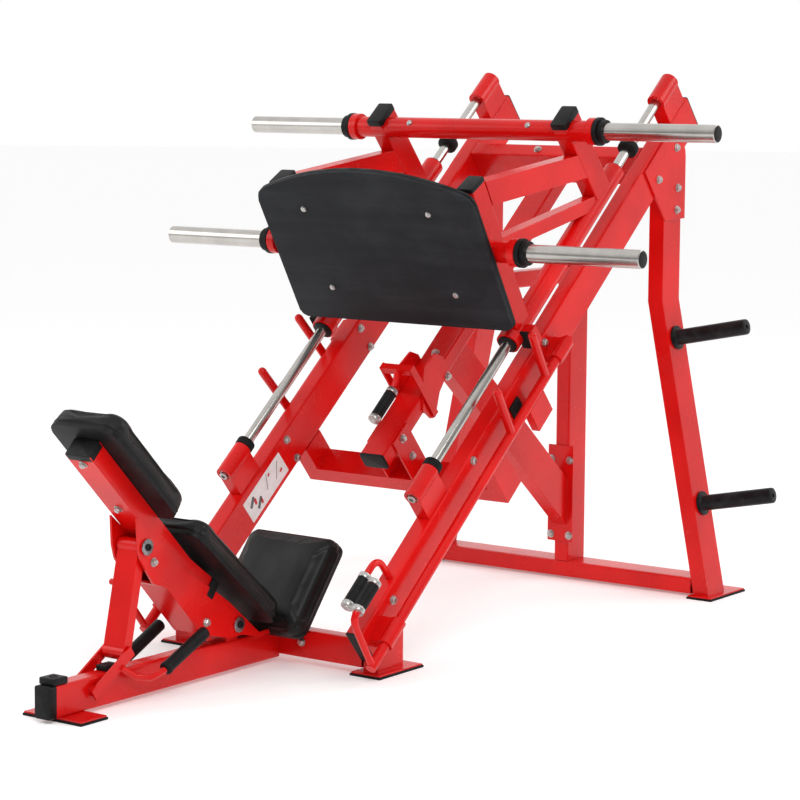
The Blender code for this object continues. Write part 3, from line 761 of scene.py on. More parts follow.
class NodeKit:
    """A Geometry Nodes tree with named inputs, used once and turned into a plain mesh."""

    def __init__(self, name: str) -> None:
        """Start a tree that takes and gives geometry.

        Args:
            name: the tree's name.
        """
        self.tree = bpy.data.node_groups.new(name, "GeometryNodeTree")
        self.tree.interface.new_socket("Geometry", in_out="INPUT", socket_type="NodeSocketGeometry")
        self.tree.interface.new_socket("Geometry", in_out="OUTPUT", socket_type="NodeSocketGeometry")
        self.start = self.tree.nodes.new("NodeGroupInput")
        self.end = self.tree.nodes.new("NodeGroupOutput")

    def size(self, name: str, value: float, whole: bool = False) -> bpy.types.NodeSocket:
        """Add a named input.

        Args:
            name: the input's name.
            value: its default.
            whole: whether it is a whole number.

        Returns:
            The input's socket inside the tree.
        """
        kind = "NodeSocketInt" if whole else "NodeSocketFloat"
        made = self.tree.interface.new_socket(name, in_out="INPUT", socket_type=kind)
        made.default_value = int(value) if whole else value
        return self.start.outputs[name]

    def add(
        self,
        kind: str,
        settings: dict[str, object] | None = None,
        inputs: dict[str | int, object] | None = None,
        output: str | int = 0,
    ) -> bpy.types.NodeSocket:
        """Add a node of any type.

        Args:
            kind: the node's type.
            settings: its own settings, which are set first.
            inputs: values or sockets by name or number.
            output: the socket that is read.

        Returns:
            That output.
        """
        node = self.tree.nodes.new(kind)
        for name, value in (settings or {}).items():
            setattr(node, name, value)
        for name, value in (inputs or {}).items():
            several = value if isinstance(value, list) else [value]
            for item in several:
                if isinstance(item, bpy.types.NodeSocket):
                    self.tree.links.new(item, node.inputs[name])
                else:
                    node.inputs[name].default_value = item
        return node.outputs[output]

    def close(self, geometry: bpy.types.NodeSocket, finish: Finish) -> None:
        """End the tree in Realize Instances and Set Material.

        Args:
            geometry: what the tree has made.
            finish: its finish.
        """
        real = self.add("GeometryNodeRealizeInstances", {}, {0: geometry})
        made = self.add("GeometryNodeSetMaterial", {}, {"Geometry": real, "Material": finish.material()})
        self.tree.links.new(made, self.end.inputs[0])

    def run(self, guide: bpy.types.Object, name: str, sizes: dict[str, float]) -> bpy.types.Object:
        """Run the tree on a guide object and keep the result as a plain mesh.

        Args:
            guide: the object whose geometry the tree takes.
            name: the piece's name.
            sizes: values by the inputs' names.

        Returns:
            The piece, not yet on any body.
        """
        modifier = guide.modifiers.new("nodes", "NODES")
        modifier.node_group = self.tree
        for item in self.tree.interface.items_tree:
            if item.item_type == "SOCKET" and item.in_out == "INPUT" and item.name in sizes:
                modifier[item.identifier] = sizes[item.name]
        graph = bpy.context.evaluated_depsgraph_get()
        mesh = bpy.data.meshes.new_from_object(guide.evaluated_get(graph))
        mesh.name = name
        bpy.data.objects.remove(guide)
        mesh.shade_smooth()
        mesh.set_sharp_from_angle(angle=SMOOTH_ANGLE)
        piece = bpy.data.objects.new(name, mesh)
        bpy.context.scene.collection.objects.link(piece)
        return piece


def points_guide(name: str, places: Sequence[tuple[Vector, Vector]]) -> bpy.types.Object:
    """A mesh of loose points that carry a direction each.

    Args:
        name: the guide's name.
        places: (point, outward direction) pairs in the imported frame.

    Returns:
        The guide.
    """
    mesh = bpy.data.meshes.new(name)
    mesh.from_pydata([tuple(point) for point, _ in places], [], [])
    facing = mesh.attributes.new("facing", "FLOAT_VECTOR", "POINT")
    facing.data.foreach_set("vector", [part for _, way in places for part in way])
    guide = bpy.data.objects.new(name, mesh)
    bpy.context.scene.collection.objects.link(guide)
    return guide


def line_guide(name: str, points: Sequence[Vector], closed: bool = True) -> bpy.types.Object:
    """A curve through points.

    Args:
        name: the guide's name.
        points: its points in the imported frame.
        closed: whether it joins its own start.

    Returns:
        The guide.
    """
    curve = bpy.data.curves.new(name, "CURVE")
    curve.dimensions = "3D"
    spline = curve.splines.new("POLY")
    spline.points.add(len(points) - 1)
    for point, co in zip(spline.points, points):
        point.co = (*co, 1)
    spline.use_cyclic_u = closed
    guide = bpy.data.objects.new(name, curve)
    bpy.context.scene.collection.objects.link(guide)
    return guide


class Head(Enum):
    """The kinds of fastener on the machine."""

    NUT = "nut"
    SCREW = "screw"


@dataclass
class Fasteners:
    """The nuts, bolts and screws of one body, each seated on a face and turned at random."""

    body: str
    head: Head = Head.NUT
    radius: float = 0.0100
    height: float = 0.0075
    washer: float = 0.0125
    washer_height: float = 0.0018
    stud: float = 0.0058
    seed: int = 7
    places: list[tuple[Vector, Vector]] = field(default_factory=list)

    def put(self, frame: Matrix, point: Triple, way: Triple) -> None:
        """Add one fastener.

        Args:
            frame: the frame that the sizes are measured in.
            point: where it is seated.
            way: the outward direction.
        """
        self.places.append((frame @ Vector(point), (frame.to_3x3() @ Vector(way)).normalized()))

    def _ring(self, kit: NodeKit, sides: object, radius: object, depth: object, up: object) -> object:
        """Add a closed disc that stands on a height.

        Args:
            kit: the tree.
            sides: its corners.
            radius: its radius.
            depth: its thickness.
            up: the height of its middle.

        Returns:
            The disc's geometry.
        """
        inputs = {"Vertices": sides, "Radius": radius, "Depth": depth}
        disc = kit.add("GeometryNodeMeshCylinder", {"fill_type": "NGON"}, inputs)
        lift = kit.add("ShaderNodeCombineXYZ", {}, {"Z": up})
        return kit.add("GeometryNodeTransform", {}, {"Geometry": disc, "Translation": lift})

    def build(self, name: str) -> bpy.types.Object:
        """Make the body's fasteners in one mesh.

        Args:
            name: the piece's name.

        Returns:
            The piece.
        """
        kit = NodeKit(f"{name}_tree")
        radius = kit.size("Head Radius", 0.01)
        height = kit.size("Head Height", 0.008)
        washer = kit.size("Washer Radius", 0.012)
        washer_height = kit.size("Washer Height", 0.002)
        stud = kit.size("Stud Radius", 0.006)
        sides = kit.size("Head Sides", 6, whole=True)
        seed = kit.size("Seed", 1, whole=True)

        def maths(operation: str, first: object, second: object) -> bpy.types.NodeSocket:
            """One Math node in this tree."""
            return kit.add("ShaderNodeMath", {"operation": operation}, {0: first, 1: second})

        body_height = maths("MULTIPLY", height, 0.72)
        top_height = maths("MULTIPLY", height, 0.28)
        base = self._ring(kit, 32, washer, washer_height, maths("MULTIPLY", washer_height, 0.5))
        middle = maths("ADD", washer_height, maths("MULTIPLY", body_height, 0.5))
        head = self._ring(kit, sides, radius, body_height, middle)
        cone_inputs = {
            "Vertices": sides,
            "Radius Top": maths("MULTIPLY", radius, 0.80),
            "Radius Bottom": radius,
            "Depth": top_height,
        }
        cone = kit.add("GeometryNodeMeshCone", {"fill_type": "NGON"}, cone_inputs)
        lift = kit.add("ShaderNodeCombineXYZ", {}, {"Z": maths("ADD", washer_height, body_height)})
        chamfer = kit.add("GeometryNodeTransform", {}, {"Geometry": cone, "Translation": lift})
        stud_up = maths("ADD", washer_height, maths("MULTIPLY", height, 0.6))
        tip = self._ring(kit, 20, stud, maths("MULTIPLY", height, 1.2), stud_up)
        whole = kit.add("GeometryNodeJoinGeometry", {}, {0: [base, head, chamfer, tip]})

        facing = kit.add("GeometryNodeInputNamedAttribute", {"data_type": "FLOAT_VECTOR"}, {"Name": "facing"})
        aim = kit.add("FunctionNodeAlignRotationToVector", {"axis": "Z"}, {"Vector": facing})
        spin = kit.add("FunctionNodeRandomValue", {"data_type": "FLOAT"}, {3: 6.283, "Seed": seed}, 1)
        about = kit.add("FunctionNodeAxisAngleToRotation", {}, {"Axis": (0, 0, 1), "Angle": spin})
        turn = kit.add(
            "FunctionNodeRotateRotation", {"rotation_space": "LOCAL"}, {"Rotation": aim, "Rotate By": about}
        )
        inputs = {"Points": kit.start.outputs[0], "Instance": whole, "Rotation": turn}
        kit.close(kit.add("GeometryNodeInstanceOnPoints", {}, inputs), STEEL)
        sizes = {
            "Head Radius": self.radius,
            "Head Height": self.height,
            "Washer Radius": self.washer,
            "Washer Height": self.washer_height,
            "Stud Radius": self.stud,
            "Head Sides": 6 if self.head is Head.NUT else 24,
            "Seed": self.seed,
        }
        piece = kit.run(points_guide(name + "_guide", self.places), name, sizes)
        return hand_over(piece, self.body)


def welt(name: str, line: Sequence[Vector], radius: float, finish: Finish, body: str) -> bpy.types.Object:
    """A round cord that follows a closed line: a seam's piping or a weld bead.

    Args:
        name: the piece's name.
        line: the line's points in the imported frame.
        radius: of the cord.
        finish: its finish.
        body: the body that it rides on.

    Returns:
        The piece.
    """
    kit = NodeKit(f"{name}_tree")
    thickness = kit.size("Radius", 0.002)
    section = kit.add("GeometryNodeCurvePrimitiveCircle", {}, {"Resolution": 10, "Radius": thickness})
    inputs = {"Curve": kit.start.outputs[0], "Profile Curve": section}
    kit.close(kit.add("GeometryNodeCurveToMesh", {}, inputs), finish)
    piece = kit.run(line_guide(name + "_guide", line), name, {"Radius": radius})
    return hand_over(piece, body)


# ---------------------------------------------------------------- painted steel


@dataclass
class Weldment:
    """The painted tubes and plates of one body, with eased edges, one piece to a CAD node."""

    body: str
    nodes: tuple[str, ...]
    soften: float = 0.0009
    finish: Finish = RED

    def build(self) -> None:
        """Make a softened copy of each node."""
        for node in self.nodes:
            shape = Shape(f"{node}_painted")
            shape.copy_of(node, self.finish)
            shape.done(self.body, [node], self.soften)


def both(*names: str) -> tuple[str, ...]:
    """Each name with _right and with _left."""
    return tuple(f"{name}_{side}" for name in names for side, _ in SIDES)


@dataclass
class Base:
    """The spine and the feet: end cap, bumper, rests, mats and their fasteners. MACHINE frame."""

    mat_height: float = 0.0052
    mat_lip: float = 0.003
    feet: tuple[tuple[str, Pair, Pair], ...] = (
        ("foot_pad_front", (-0.0935, 0.0935), (0.031, 0.121)),
        ("foot_pad_middle_right", (0.278, 0.370), (0.850, 1.040)),
        ("foot_pad_middle_left", (-0.370, -0.278), (0.850, 1.040)),
        ("foot_pad_rear_right", (0.470, 0.549), (2.265, 2.472)),
        ("foot_pad_rear_left", (-0.549, -0.470), (2.265, 2.472)),
    )

    def build(self) -> None:
        """Make the mats and the spine's trim."""
        lip = self.mat_lip
        for node, xs, ys in self.feet:
            mat = Shape(node.replace("foot_pad", "foot_mat"))
            low = (xs[0] - lip, ys[0] - lip, 0)
            high = (xs[1] + lip, ys[1] + lip, self.mat_height + 0.0012)
            mat.block(low, high, RUBBER, 0.0015)
            mat.done("root", [node])
        trim = Shape("spine_end_cap")
        face = rounded_box(0.0505, 0.0805, 0.006)
        upright = Matrix.Translation((0, 0, 0.050)) @ Matrix.Rotation(math.radians(90), 4, "X")
        trim.drawn(face, -0.0215, 0.0035, upright, CAP, 0.0015)
        trim.done("root")
        bumper = Shape("spine_bumper")
        bumper.block((-0.025, 0.011, 0.0902), (0.025, 0.061, 0.108), CAP, 0.0035)
        ring = [(0.0, 0.0105), (0.0012, 0.0105), (0.0012, 0.0075), (-0.004, 0.0075), (-0.004, 0.0)]
        bumper.turned(ring, (0, 0.036, 0.1078), Along.Z, RUBBER)
        bumper.done("root")
        rest = Shape("fork_rest_pad")
        rest.block((-0.018, 0.203, 0.0902), (0.018, 0.250, 0.105), CAP, 0.003)
        rest.done("root")

    def fasten(self, set_: Fasteners) -> None:
        """Add the base's fasteners.

        Args:
            set_: the root body's fasteners.
        """
        for sign in (1, -1):
            set_.put(MACHINE, (sign * 0.099, 0.870, 0.0610), (0, -1, 0))
            set_.put(MACHINE, (sign * 0.025, 0.145, 0.055), (sign, 0, 0))
            set_.put(MACHINE, (sign * 0.033, 2.2875, 0.1400), (0, -1, 0))
            set_.put(MACHINE, (sign * 0.033, 2.2875, 0.375), (0, -1, 0))
            for y, z in ((2.352, 1.343), (2.250, 1.250), (2.363, 1.223), (2.360, 1.157)):
                set_.put(MACHINE, (sign * 0.3529, y, z), (sign, 0, 0))


@dataclass
class Guides:
    """Rails, guide rods, buffers, end caps and the guide film on the left rail. RAILS frame."""

    rod_radius: float = 0.015
    rod_ends: Pair = (0.002, 1.7045)
    rail_h: Pair = (-0.190, -0.078)
    rail_ends: Pair = (-0.40, 1.72)

    def build(self) -> None:
        """Make the rods and the rails' trim."""
        start, end = self.rod_ends
        middle = (self.rail_h[0] + self.rail_h[1]) / 2
        flat = Matrix.Rotation(math.radians(90), 4, "X")
        for side, sign in SIDES:
            x = sign * ROD_X
            rod = Shape(f"ground_rod_{side}", RAILS)
            rod.turned(capped(start, end, self.rod_radius), (x, 0, 0), Along.Y, ROD_CHROME, 64)
            rod.done("root", [f"guide_rod_{side}"])
            buffers = Shape(f"rod_buffers_{side}", RAILS)
            buffers.turned(self.ring(0.1053, 0.1300, 0.0262), (x, 0, 0), Along.Y, RUBBER)
            buffers.turned(self.ring(1.3865, 1.4105, 0.0300), (x, 0, 0), Along.Y, RUBBER)
            buffers.done("root")
            caps = Shape(f"rail_end_caps_{side}", RAILS)
            outline = rounded_box(0.0504, 0.1124, 0.006)
            for s in self.rail_ends:
                low, high = sorted((-s - math.copysign(0.0022, s), -s + math.copysign(0.0015, s)))
                caps.drawn(outline, low, high, Matrix.Translation((x, 0, middle)) @ flat, CAP, 0.0008)
            caps.done("root")
            pad = Shape(f"rail_rest_pad_{side}", RAILS)
            xs = sorted((sign * 0.3464, sign * 0.3555))
            pad.block((xs[0], 0.445, -0.160), (xs[1], 0.495, -0.115), RUBBER, 0.0025)
            pad.done("root")
            screws = Shape(f"rod_end_screws_{side}", RAILS)
            screws.turned(self.socket_screw(0.0125), (x, 0.0, 0), Along.Y, STEEL, 40)
            screws.turned(capped(1.7045, 1.7085, 0.0085, 0.001), (x, 0, 0), Along.Y, STEEL, 32)
            screws.done("root")
        cap = Shape("column_end_cap", RAILS)
        outline = rounded_box(0.0804, 0.0504, 0.006)
        cap.drawn(outline, -0.233, -0.2245, Matrix.Translation((0, 0, -0.140)) @ flat, CAP, 0.0015)
        cap.done("root")
        self.guide_film()

    @staticmethod
    def ring(low: float, high: float, radius: float) -> list[Pair]:
        """The profile of a rubber ring, solid because the rod runs through it."""
        return capped(low, high, radius, 0.004)

    @staticmethod
    def socket_screw(radius: float) -> list[Pair]:
        """The profile of a screw head with a round recess, its top towards the rail's foot."""
        return [
            (0.003, 0), (0.003, radius), (-0.004, radius), (-0.0055, radius * 0.88),
            (-0.0055, radius * 0.5), (0.0, radius * 0.5), (0.0, 0),
        ]  # fmt: skip

    def guide_film(self) -> None:
        """A plain film with four abstract marks on the left rail's inner face."""
        face = Matrix.Translation((-0.2966, 0.085, -0.137)) @ Matrix.Rotation(math.radians(90), 4, "Y")
        film = Shape("guide_film", RAILS)
        outline = [(-y, x) for x, y in rounded_box(0.205, 0.074, 0.003)]
        film.drawn(outline, -0.0001, 0.0007, face, FILM, 0.0002)
        marks = (
            (INK, (-0.070, 0.012), 0.034, 0.011, 35), (INK, (-0.046, -0.012), 0.036, 0.011, 35),
            (RED_INK, (-0.058, 0.004), 0.020, 0.010, 80), (RED_INK, (-0.036, -0.016), 0.016, 0.009, 80),
            (INK, (0.012, 0.010), 0.048, 0.0022, 62), (INK, (0.064, 0.004), 0.052, 0.0022, 50),
            (RED_INK, (0.030, 0.020), 0.010, 0.007, 20), (RED_INK, (0.078, -0.010), 0.013, 0.008, 20),
        )  # fmt: skip
        for ink, (s, h), length, width, angle in marks:
            turn = Matrix.Rotation(math.radians(angle), 4, "Z")
            place = face @ Matrix.Translation((-h, s, 0)) @ turn
            film.drawn(rounded_box(width, length, width * 0.3), 0.0005, 0.0010, place, ink, 0.0001)
        film.done("root")

    def fasten(self, set_: Fasteners) -> None:
        """Add the rails' and the column's fasteners.

        Args:
            set_: the root body's fasteners.
        """
        outer = ROD_X + 0.025
        for sign in (1, -1):
            for s, h in ((0.236, -0.100), (0.236, -0.175), (0.69, -0.100), (0.69, -0.176), (-0.25, -0.114)):
                set_.put(RAILS, (sign * outer, s, h), (sign, 0, 0))
                set_.put(RAILS, (sign * (outer - 0.050), s, h), (-sign, 0, 0))
            for s, h in ((0.32, -0.14), (0.32, -0.21)):
                set_.put(RAILS, (sign * 0.0463, s, h), (sign, 0, 0))
            set_.put(RAILS, (sign * 0.0461, 0.586, -0.160), (sign, 0, 0))
            set_.put(RAILS, (sign * 0.060, 1.468, -0.078), (0, 0, 1))
        set_.put(RAILS, (0, 0.63, -0.115), (0, 0, 1))


@dataclass
class Handles:
    """The fixed handles and the sleeves over every moving hand grip. RAILS frame."""

    grip_radius: float = 0.0167
    groove: float = 0.0007
    ring_radius: float = 0.0176

    def grip(self, shape: Shape, at: Triple, low: float, high: float) -> None:
        """Add a ribbed sleeve between two bright end rings.

        Args:
            shape: the piece that it belongs to.
            at: a point of its axis.
            low: its lower end along the rails.
            high: its upper end along the rails.
        """
        ring, radius, rim = 0.0125, self.grip_radius, self.ring_radius
        count = 9
        step = (high - low - 2 * ring) / count
        profile = [(low + ring, 0.0)]
        for i in range(count):
            start = low + ring + i * step
            end = start + step
            profile += [
                (start + 0.0008, radius), (end - 0.0016, radius), (end - 0.0008, radius - self.groove),
            ]  # fmt: skip
        profile.append((high - ring, 0.0))
        shape.turned(profile, at, Along.Y, GRIP, 40)
        shape.turned(capped(low - 0.0015, low + ring, rim, 0.0015), at, Along.Y, STEEL, 40)
        shape.turned(capped(high - ring, high + 0.0015, rim, 0.0015), at, Along.Y, STEEL, 40)
        shape.turned(capped(low - 0.0035, low, rim * 0.55, 0.001), at, Along.Y, STEEL, 28)

    def build(self) -> None:
        """Make the fixed handles and the moving sleeves."""
        for side, sign in SIDES:
            x = sign * 0.325
            fixed = Shape(f"fixed_hand_grip_{side}", RAILS)
            self.grip(fixed, (x, 0, 0), -0.375, -0.270)
            bend = arc(0.035, (-0.240, -0.035), 0, 90, 10)
            line = [(x, -0.205, -0.0775), *[(x, s, h) for s, h in bend], (x, -0.272, 0)]
            fixed.rod(line, 0.0095, RED)
            fixed.done("root", [f"fixed_handle_{side}"])
            moving = Shape(f"stop_grip_sleeve_{side}", RAILS)
            self.grip(moving, (sign * 0.395, 0, 0.035), -0.410, -0.310)
            moving.done(f"stop_{side}")
        lever = Shape("range_grip_sleeve", RAILS)
        self.grip(lever, (0, 0, -0.050), 0.300, 0.415)
        lever.done("range_lever")


@dataclass
class RearFrame:
    """Storage pegs on the sloping rear posts. The pegs' own frame stands on the post's face."""

    post_x: float = 0.500
    post_half: float = 0.025
    post_y: float = 2.345
    lean: float = math.atan((0.500 - 0.3216) / 0.885)
    levels: tuple[tuple[str, float], ...] = (("lower", 0.285), ("upper", 0.789))

    def build(self) -> None:
        """Make the four pegs."""
        out = self.face_offset()
        for side, sign in SIDES:
            frame = (
                MACHINE
                @ Matrix.Translation((sign * out, self.post_y, 0))
                @ Matrix.Rotation(-sign * self.lean, 4, "Y")
            )
            for level, height in self.levels:
                peg = Shape(f"peg_sleeve_{level}_{side}", frame)
                profile = [
                    (0.0003, 0), (0.0003, 0.035), (0.0012, 0.036), (0.0055, 0.036), (0.0065, 0.035),
                    (0.0072, 0.027), (0.0095, 0.0245), (0.012, 0.0235), (0.238, 0.0235),
                    (0.2415, 0.0225), (0.243, 0.020), (0.243, 0.0068), (0.2415, 0.006), (0.226, 0.006),
                    (0.226, 0),
                ]  # fmt: skip
                peg.turned([(sign * z, r) for z, r in profile], (0, 0, height), Along.X, HORN, 56)
                peg.done("root", [f"storage_horn_{level}_{side}"])

    def face_offset(self) -> float:
        """How far out the post's sloping face stands at floor height.

        Returns:
            The distance from the middle, in metres.
        """
        return self.post_x + self.post_half / math.cos(self.lean)


# ---------------------------------------------------------------- carriage


@dataclass
class Carriage:
    """Bearing tubes, cross tubes, weight sleeves and caps. RAILS and PLATE frames."""

    axles: tuple[tuple[str, Matrix, Pair], ...] = (
        ("upper", RAILS, (1.176, 0.2585)),
        ("lower", PLATE, (0.0618, 0.1095)),
    )

    def build(self) -> None:
        """Make the carriage's round members and its trim."""
        for level, frame, (y, z) in self.axles:
            tube = Shape(f"{level}_axle_tube", frame)
            profile = [
                (-0.4250, 0), (-0.4250, 0.0360), (-0.4235, 0.0385), (-0.4015, 0.0385), (-0.4000, 0.0370),
                (-0.3995, 0.0300),
            ]  # fmt: skip
            tube.turned(profile + [(-z_, r) for z_, r in reversed(profile)], (0, y, z), Along.X, RED, 64)
            tube.done("carriage", [f"{level}_cross_tube"])
            for side, sign in SIDES:
                sleeve = Shape(f"{level}_sleeve_{side}", frame)
                bar = [
                    (0.4253, 0), (0.4253, 0.0250), (0.8045, 0.0250), (0.8060, 0.0235), (0.8060, 0.0222),
                    (0.8040, 0.0220), (0.8040, 0),
                ]  # fmt: skip
                sleeve.turned([(sign * a, r) for a, r in bar], (0, y, z), Along.X, SLEEVE_CHROME, 64)
                collar = [
                    (0.4253, 0), (0.4253, 0.0385), (0.4268, 0.0400), (0.4370, 0.0400), (0.4385, 0.0385),
                    (0.4385, 0.0330), (0.4535, 0.0330), (0.4550, 0.0315), (0.4550, 0.0),
                ]  # fmt: skip
                sleeve.turned([(sign * a, r) for a, r in collar], (0, y, z), Along.X, CAP, 56)
                plug = [(sign * a, r) for a, r in capped(0.8000, 0.8056, 0.0222, 0.0008)]
                sleeve.turned(plug, (0, y, z), Along.X, CAP, 48)
                sleeve.done("carriage", [f"weight_sleeve_{level}_{side}"])
        self.caps()

    def caps(self) -> None:
        """Make the black caps, bushes and stop pads."""
        for side, sign in SIDES:
            x = sign * ROD_X
            top = Shape(f"upright_cap_{side}", RAILS)
            place = Matrix.Translation((x, 1.189, 0))
            top.drawn(rounded_box(0.0516, 0.0836, 0.006), 0.284, 0.3045, place, CAP, 0.002)
            top.done("carriage")
            front = Shape(f"front_arm_cap_{side}", PLATE)
            place = Matrix.Translation((x, 0.07725, 0))
            front.drawn(rounded_box(0.0516, 0.0691, 0.006), 0.306, 0.3195, place, CAP, 0.002)
            front.done("carriage")
            bush = Shape(f"rod_bushes_{side}", RAILS)
            bush.turned(capped(0.5765, 0.5825, 0.0285, 0.002), (x, 0, 0), Along.Y, CAP)
            bush.turned(capped(1.2995, 1.3055, 0.0265, 0.002), (x, 0, 0), Along.Y, CAP)
            bush.done("carriage")
            pad = Shape(f"stop_pad_{side}", RAILS)
            xs = sorted((sign * 0.3405, sign * 0.3840))
            pad.block((xs[0], 0.6095, -0.0435), (xs[1], 0.6225, 0.0125), RUBBER, 0.0018)
            pad.done("carriage")

    def fasten(self, set_: Fasteners) -> None:
        """Add the carriage's small screws.

        Args:
            set_: the carriage's screws.
        """
        y, z = self.axles[0][2]
        for sign in (1, -1):
            tilt = math.radians(112)
            way = (0, math.cos(tilt), math.sin(tilt))
            point = (sign * 0.207, y + 0.0296 * way[1], z + 0.0296 * way[2])
            set_.put(RAILS, point, way)
            for height in (0.0, 0.263):
                set_.put(PLATE, (sign * 0.213, -0.0005, height), (0, -1, 0))


@dataclass
class FootPlate:
    """The steel plate with its rubber tread. PLATE frame, its face at Y 0."""

    half: float = 0.367
    low: float = -0.110
    crown: float = 0.390
    thickness: float = 0.022
    corner: float = 0.020
    shoulder: Pair = (0.345, 0.323)

    def outline(self, inset: float = 0.0) -> list[Pair]:
        """The plate's outline: square below, with a shallow arch over the top.

        Args:
            inset: how far inside the plate's own edge it runs.

        Returns:
            The outline's (X, Z) points.
        """
        half, low, crown = self.half - inset, self.low + inset, self.crown - inset
        corner = self.corner
        across, up = self.shoulder[0] - inset, self.shoulder[1] - inset
        rise = crown - up
        radius = (across**2 + rise**2) / (2 * rise)
        spread = math.degrees(math.asin(across / radius))
        return [
            *arc(corner, (half - corner, low + corner), -90, 0, 8),
            (half, up - 0.038),
            (half - 0.002, up - 0.024),
            (half - 0.009, up - 0.010),
            *arc(radius, (0, crown - radius), 90 - spread, 90 + spread, 48),
            (-half + 0.009, up - 0.010),
            (-half + 0.002, up - 0.024),
            (-half, up - 0.038),
            *arc(corner, (-half + corner, low + corner), 180, 270, 8),
        ]

    def build(self) -> None:
        """Make the plate and its tread."""
        face = Matrix.Rotation(math.radians(90), 4, "X")
        plate = Shape("foot_plate_tread", PLATE)
        plate.drawn(self.outline(), -self.thickness, -0.0125, face, CAP, 0.001)
        plate.drawn(self.outline(0.0006), -0.0128, 0.0, face, TREAD, 0.0042)
        plate.done("carriage", ["foot_plate"])


# ---------------------------------------------------------------- padding


@dataclass
class Pad:
    """An upholstered pad on a board: filled by simulation, then piped along its seams.

    Its own frame has X across, Y along and Z out of the padded face, with the board at Z 0.
    """

    name: str
    node: str
    frame: Matrix
    width: float
    length: float
    height: float
    corner: float
    crown: float = 0.010
    inset: float = 0.0045
    board: float = 0.011
    pressure: float = 4.0
    most_swell: float = 0.006
    cell: float = 0.005

    def blank(self) -> bpy.types.Object:
        """The stuffed cover before it is filled, a little smaller than its final shape.

        Returns:
            The closed blank in the pad's own frame.
        """
        work = bmesh.new()
        width, length = self.width - 2 * self.inset, self.length - 2 * self.inset
        top = self.height - self.inset
        levels = [
            (self.board, 0.004), (self.board + 0.004, 0.0), (top * 0.55, -0.001), (top - 0.016, 0.001),
            (top - 0.008, 0.0045), (top - 0.003, 0.0095), (top, 0.017),
        ]  # fmt: skip
        rings = []
        for z, tuck in levels:
            points = rounded_box(width - 2 * tuck, length - 2 * tuck, self.corner - tuck * 0.6, 6)
            rings.append([work.verts.new((x, y, z)) for x, y in points])
        work.faces.new(rings[0][::-1])
        work.faces.new(rings[-1])
        for low, high in zip(rings, rings[1:]):
            for i in range(len(low)):
                j = (i + 1) % len(low)
                work.faces.new((low[i], low[j], high[j], high[i]))
        mesh = bpy.data.meshes.new(self.name)
        work.to_mesh(mesh)
        work.free()
        blank = bpy.data.objects.new(self.name, mesh)
        bpy.context.scene.collection.objects.link(blank)
        return blank

    def remeshed(self, blank: bpy.types.Object) -> bpy.types.Object:
        """The blank as an even mesh.

        Args:
            blank: the blank, which is removed.

        Returns:
            The even mesh's object.
        """
        remesh = blank.modifiers.new("even_mesh", "REMESH")
        remesh.mode = "VOXEL"
        remesh.voxel_size = self.cell
        graph = bpy.context.evaluated_depsgraph_get()
        mesh = bpy.data.meshes.new_from_object(blank.evaluated_get(graph))
        bpy.data.objects.remove(blank)
        even = bpy.data.objects.new(self.name, mesh)
        bpy.context.scene.collection.objects.link(even)
        return even

    def filled(self, even: bpy.types.Object) -> None:
        """Fill the cover with cloth simulation, held at the board, and cap how far it swells.

        Args:
            even: the even mesh, which takes the filled shape.
        """
        rest = [v.co.copy() for v in even.data.vertices]
        held = even.vertex_groups.new(name="held")
        held.add([i for i, p in enumerate(rest) if p.z < self.board + 0.004], 1.0, "REPLACE")
        cloth = even.modifiers.new("filling", "CLOTH")
        cloth.settings.use_pressure = True
        cloth.settings.uniform_pressure_force = self.pressure
        cloth.settings.effector_weights.gravity = 0
        cloth.settings.vertex_group_mass = "held"
        cloth.settings.quality = 4
        cloth.point_cache.frame_start = 1
        cloth.point_cache.frame_end = 20
        scene = bpy.context.scene
        for frame in range(1, 21):
            scene.frame_set(frame)
        graph = bpy.context.evaluated_depsgraph_get()
        swollen = [v.co.copy() for v in even.evaluated_get(graph).data.vertices]
        even.modifiers.remove(cloth)
        scene.frame_set(1)
        for vertex, before, after in zip(even.data.vertices, rest, swollen):
            move = after - before
            if move.length > self.most_swell:
                move *= self.most_swell / move.length
            vertex.co = before + move

    def crowned(self, even: bpy.types.Object) -> None:
        """Raise the middle of the padded face, and press the shape into the pad's own bounds.

        Args:
            even: the filled mesh.
        """
        half_width, half_length = self.width / 2, self.length / 2
        for vertex in even.data.vertices:
            x, y, z = vertex.co
            share = max(0.0, (z - self.board) / (self.height - self.board))
            u, v = min(1, abs(x) / half_width), min(1, abs(y) / half_length)
            dome = (1 - u**2.4) * (1 - v**4)
            z += (self.crown * dome - self.crown * 0.55) * share**2
            x = max(-half_width, min(half_width, x))
            y = max(-half_length, min(half_length, y))
            vertex.co = (x, y, max(self.board, min(z, self.height + self.crown * 0.45)))

    def rim(self, tree: BVHTree, height: float, steps: int = 160) -> list[Vector]:
        """A closed line round the cover at one height, on its surface.

        Args:
            tree: the finished surface in the pad's frame.
            height: the line's height.
            steps: how many rays find it.

        Returns:
            The line's points in the pad's frame.
        """
        outline = rounded_box(self.width, self.length, self.corner, steps // 4)
        line = []
        for i, (x, y) in enumerate(outline):
            ahead, behind = outline[(i + 1) % len(outline)], outline[i - 1]
            way = Vector((behind[1] - ahead[1], ahead[0] - behind[0], 0)).normalized()
            start = Vector((x, y, height)) - way * 0.03
            hit = tree.ray_cast(start, way, 0.08)[0]
            if hit is not None:
                line.append(hit)
        return line

    def spaced(self, line: Sequence[Vector], step: float = 0.004) -> list[Vector]:
        """The line with points at least a step apart.

        Args:
            line: the line's points.
            step: the least distance.

        Returns:
            The thinned line.
        """
        kept = [line[0]]
        for point in line[1:]:
            if (point - kept[-1]).length > step and (point - kept[0]).length > step * 0.7:
                kept.append(point)
        return kept

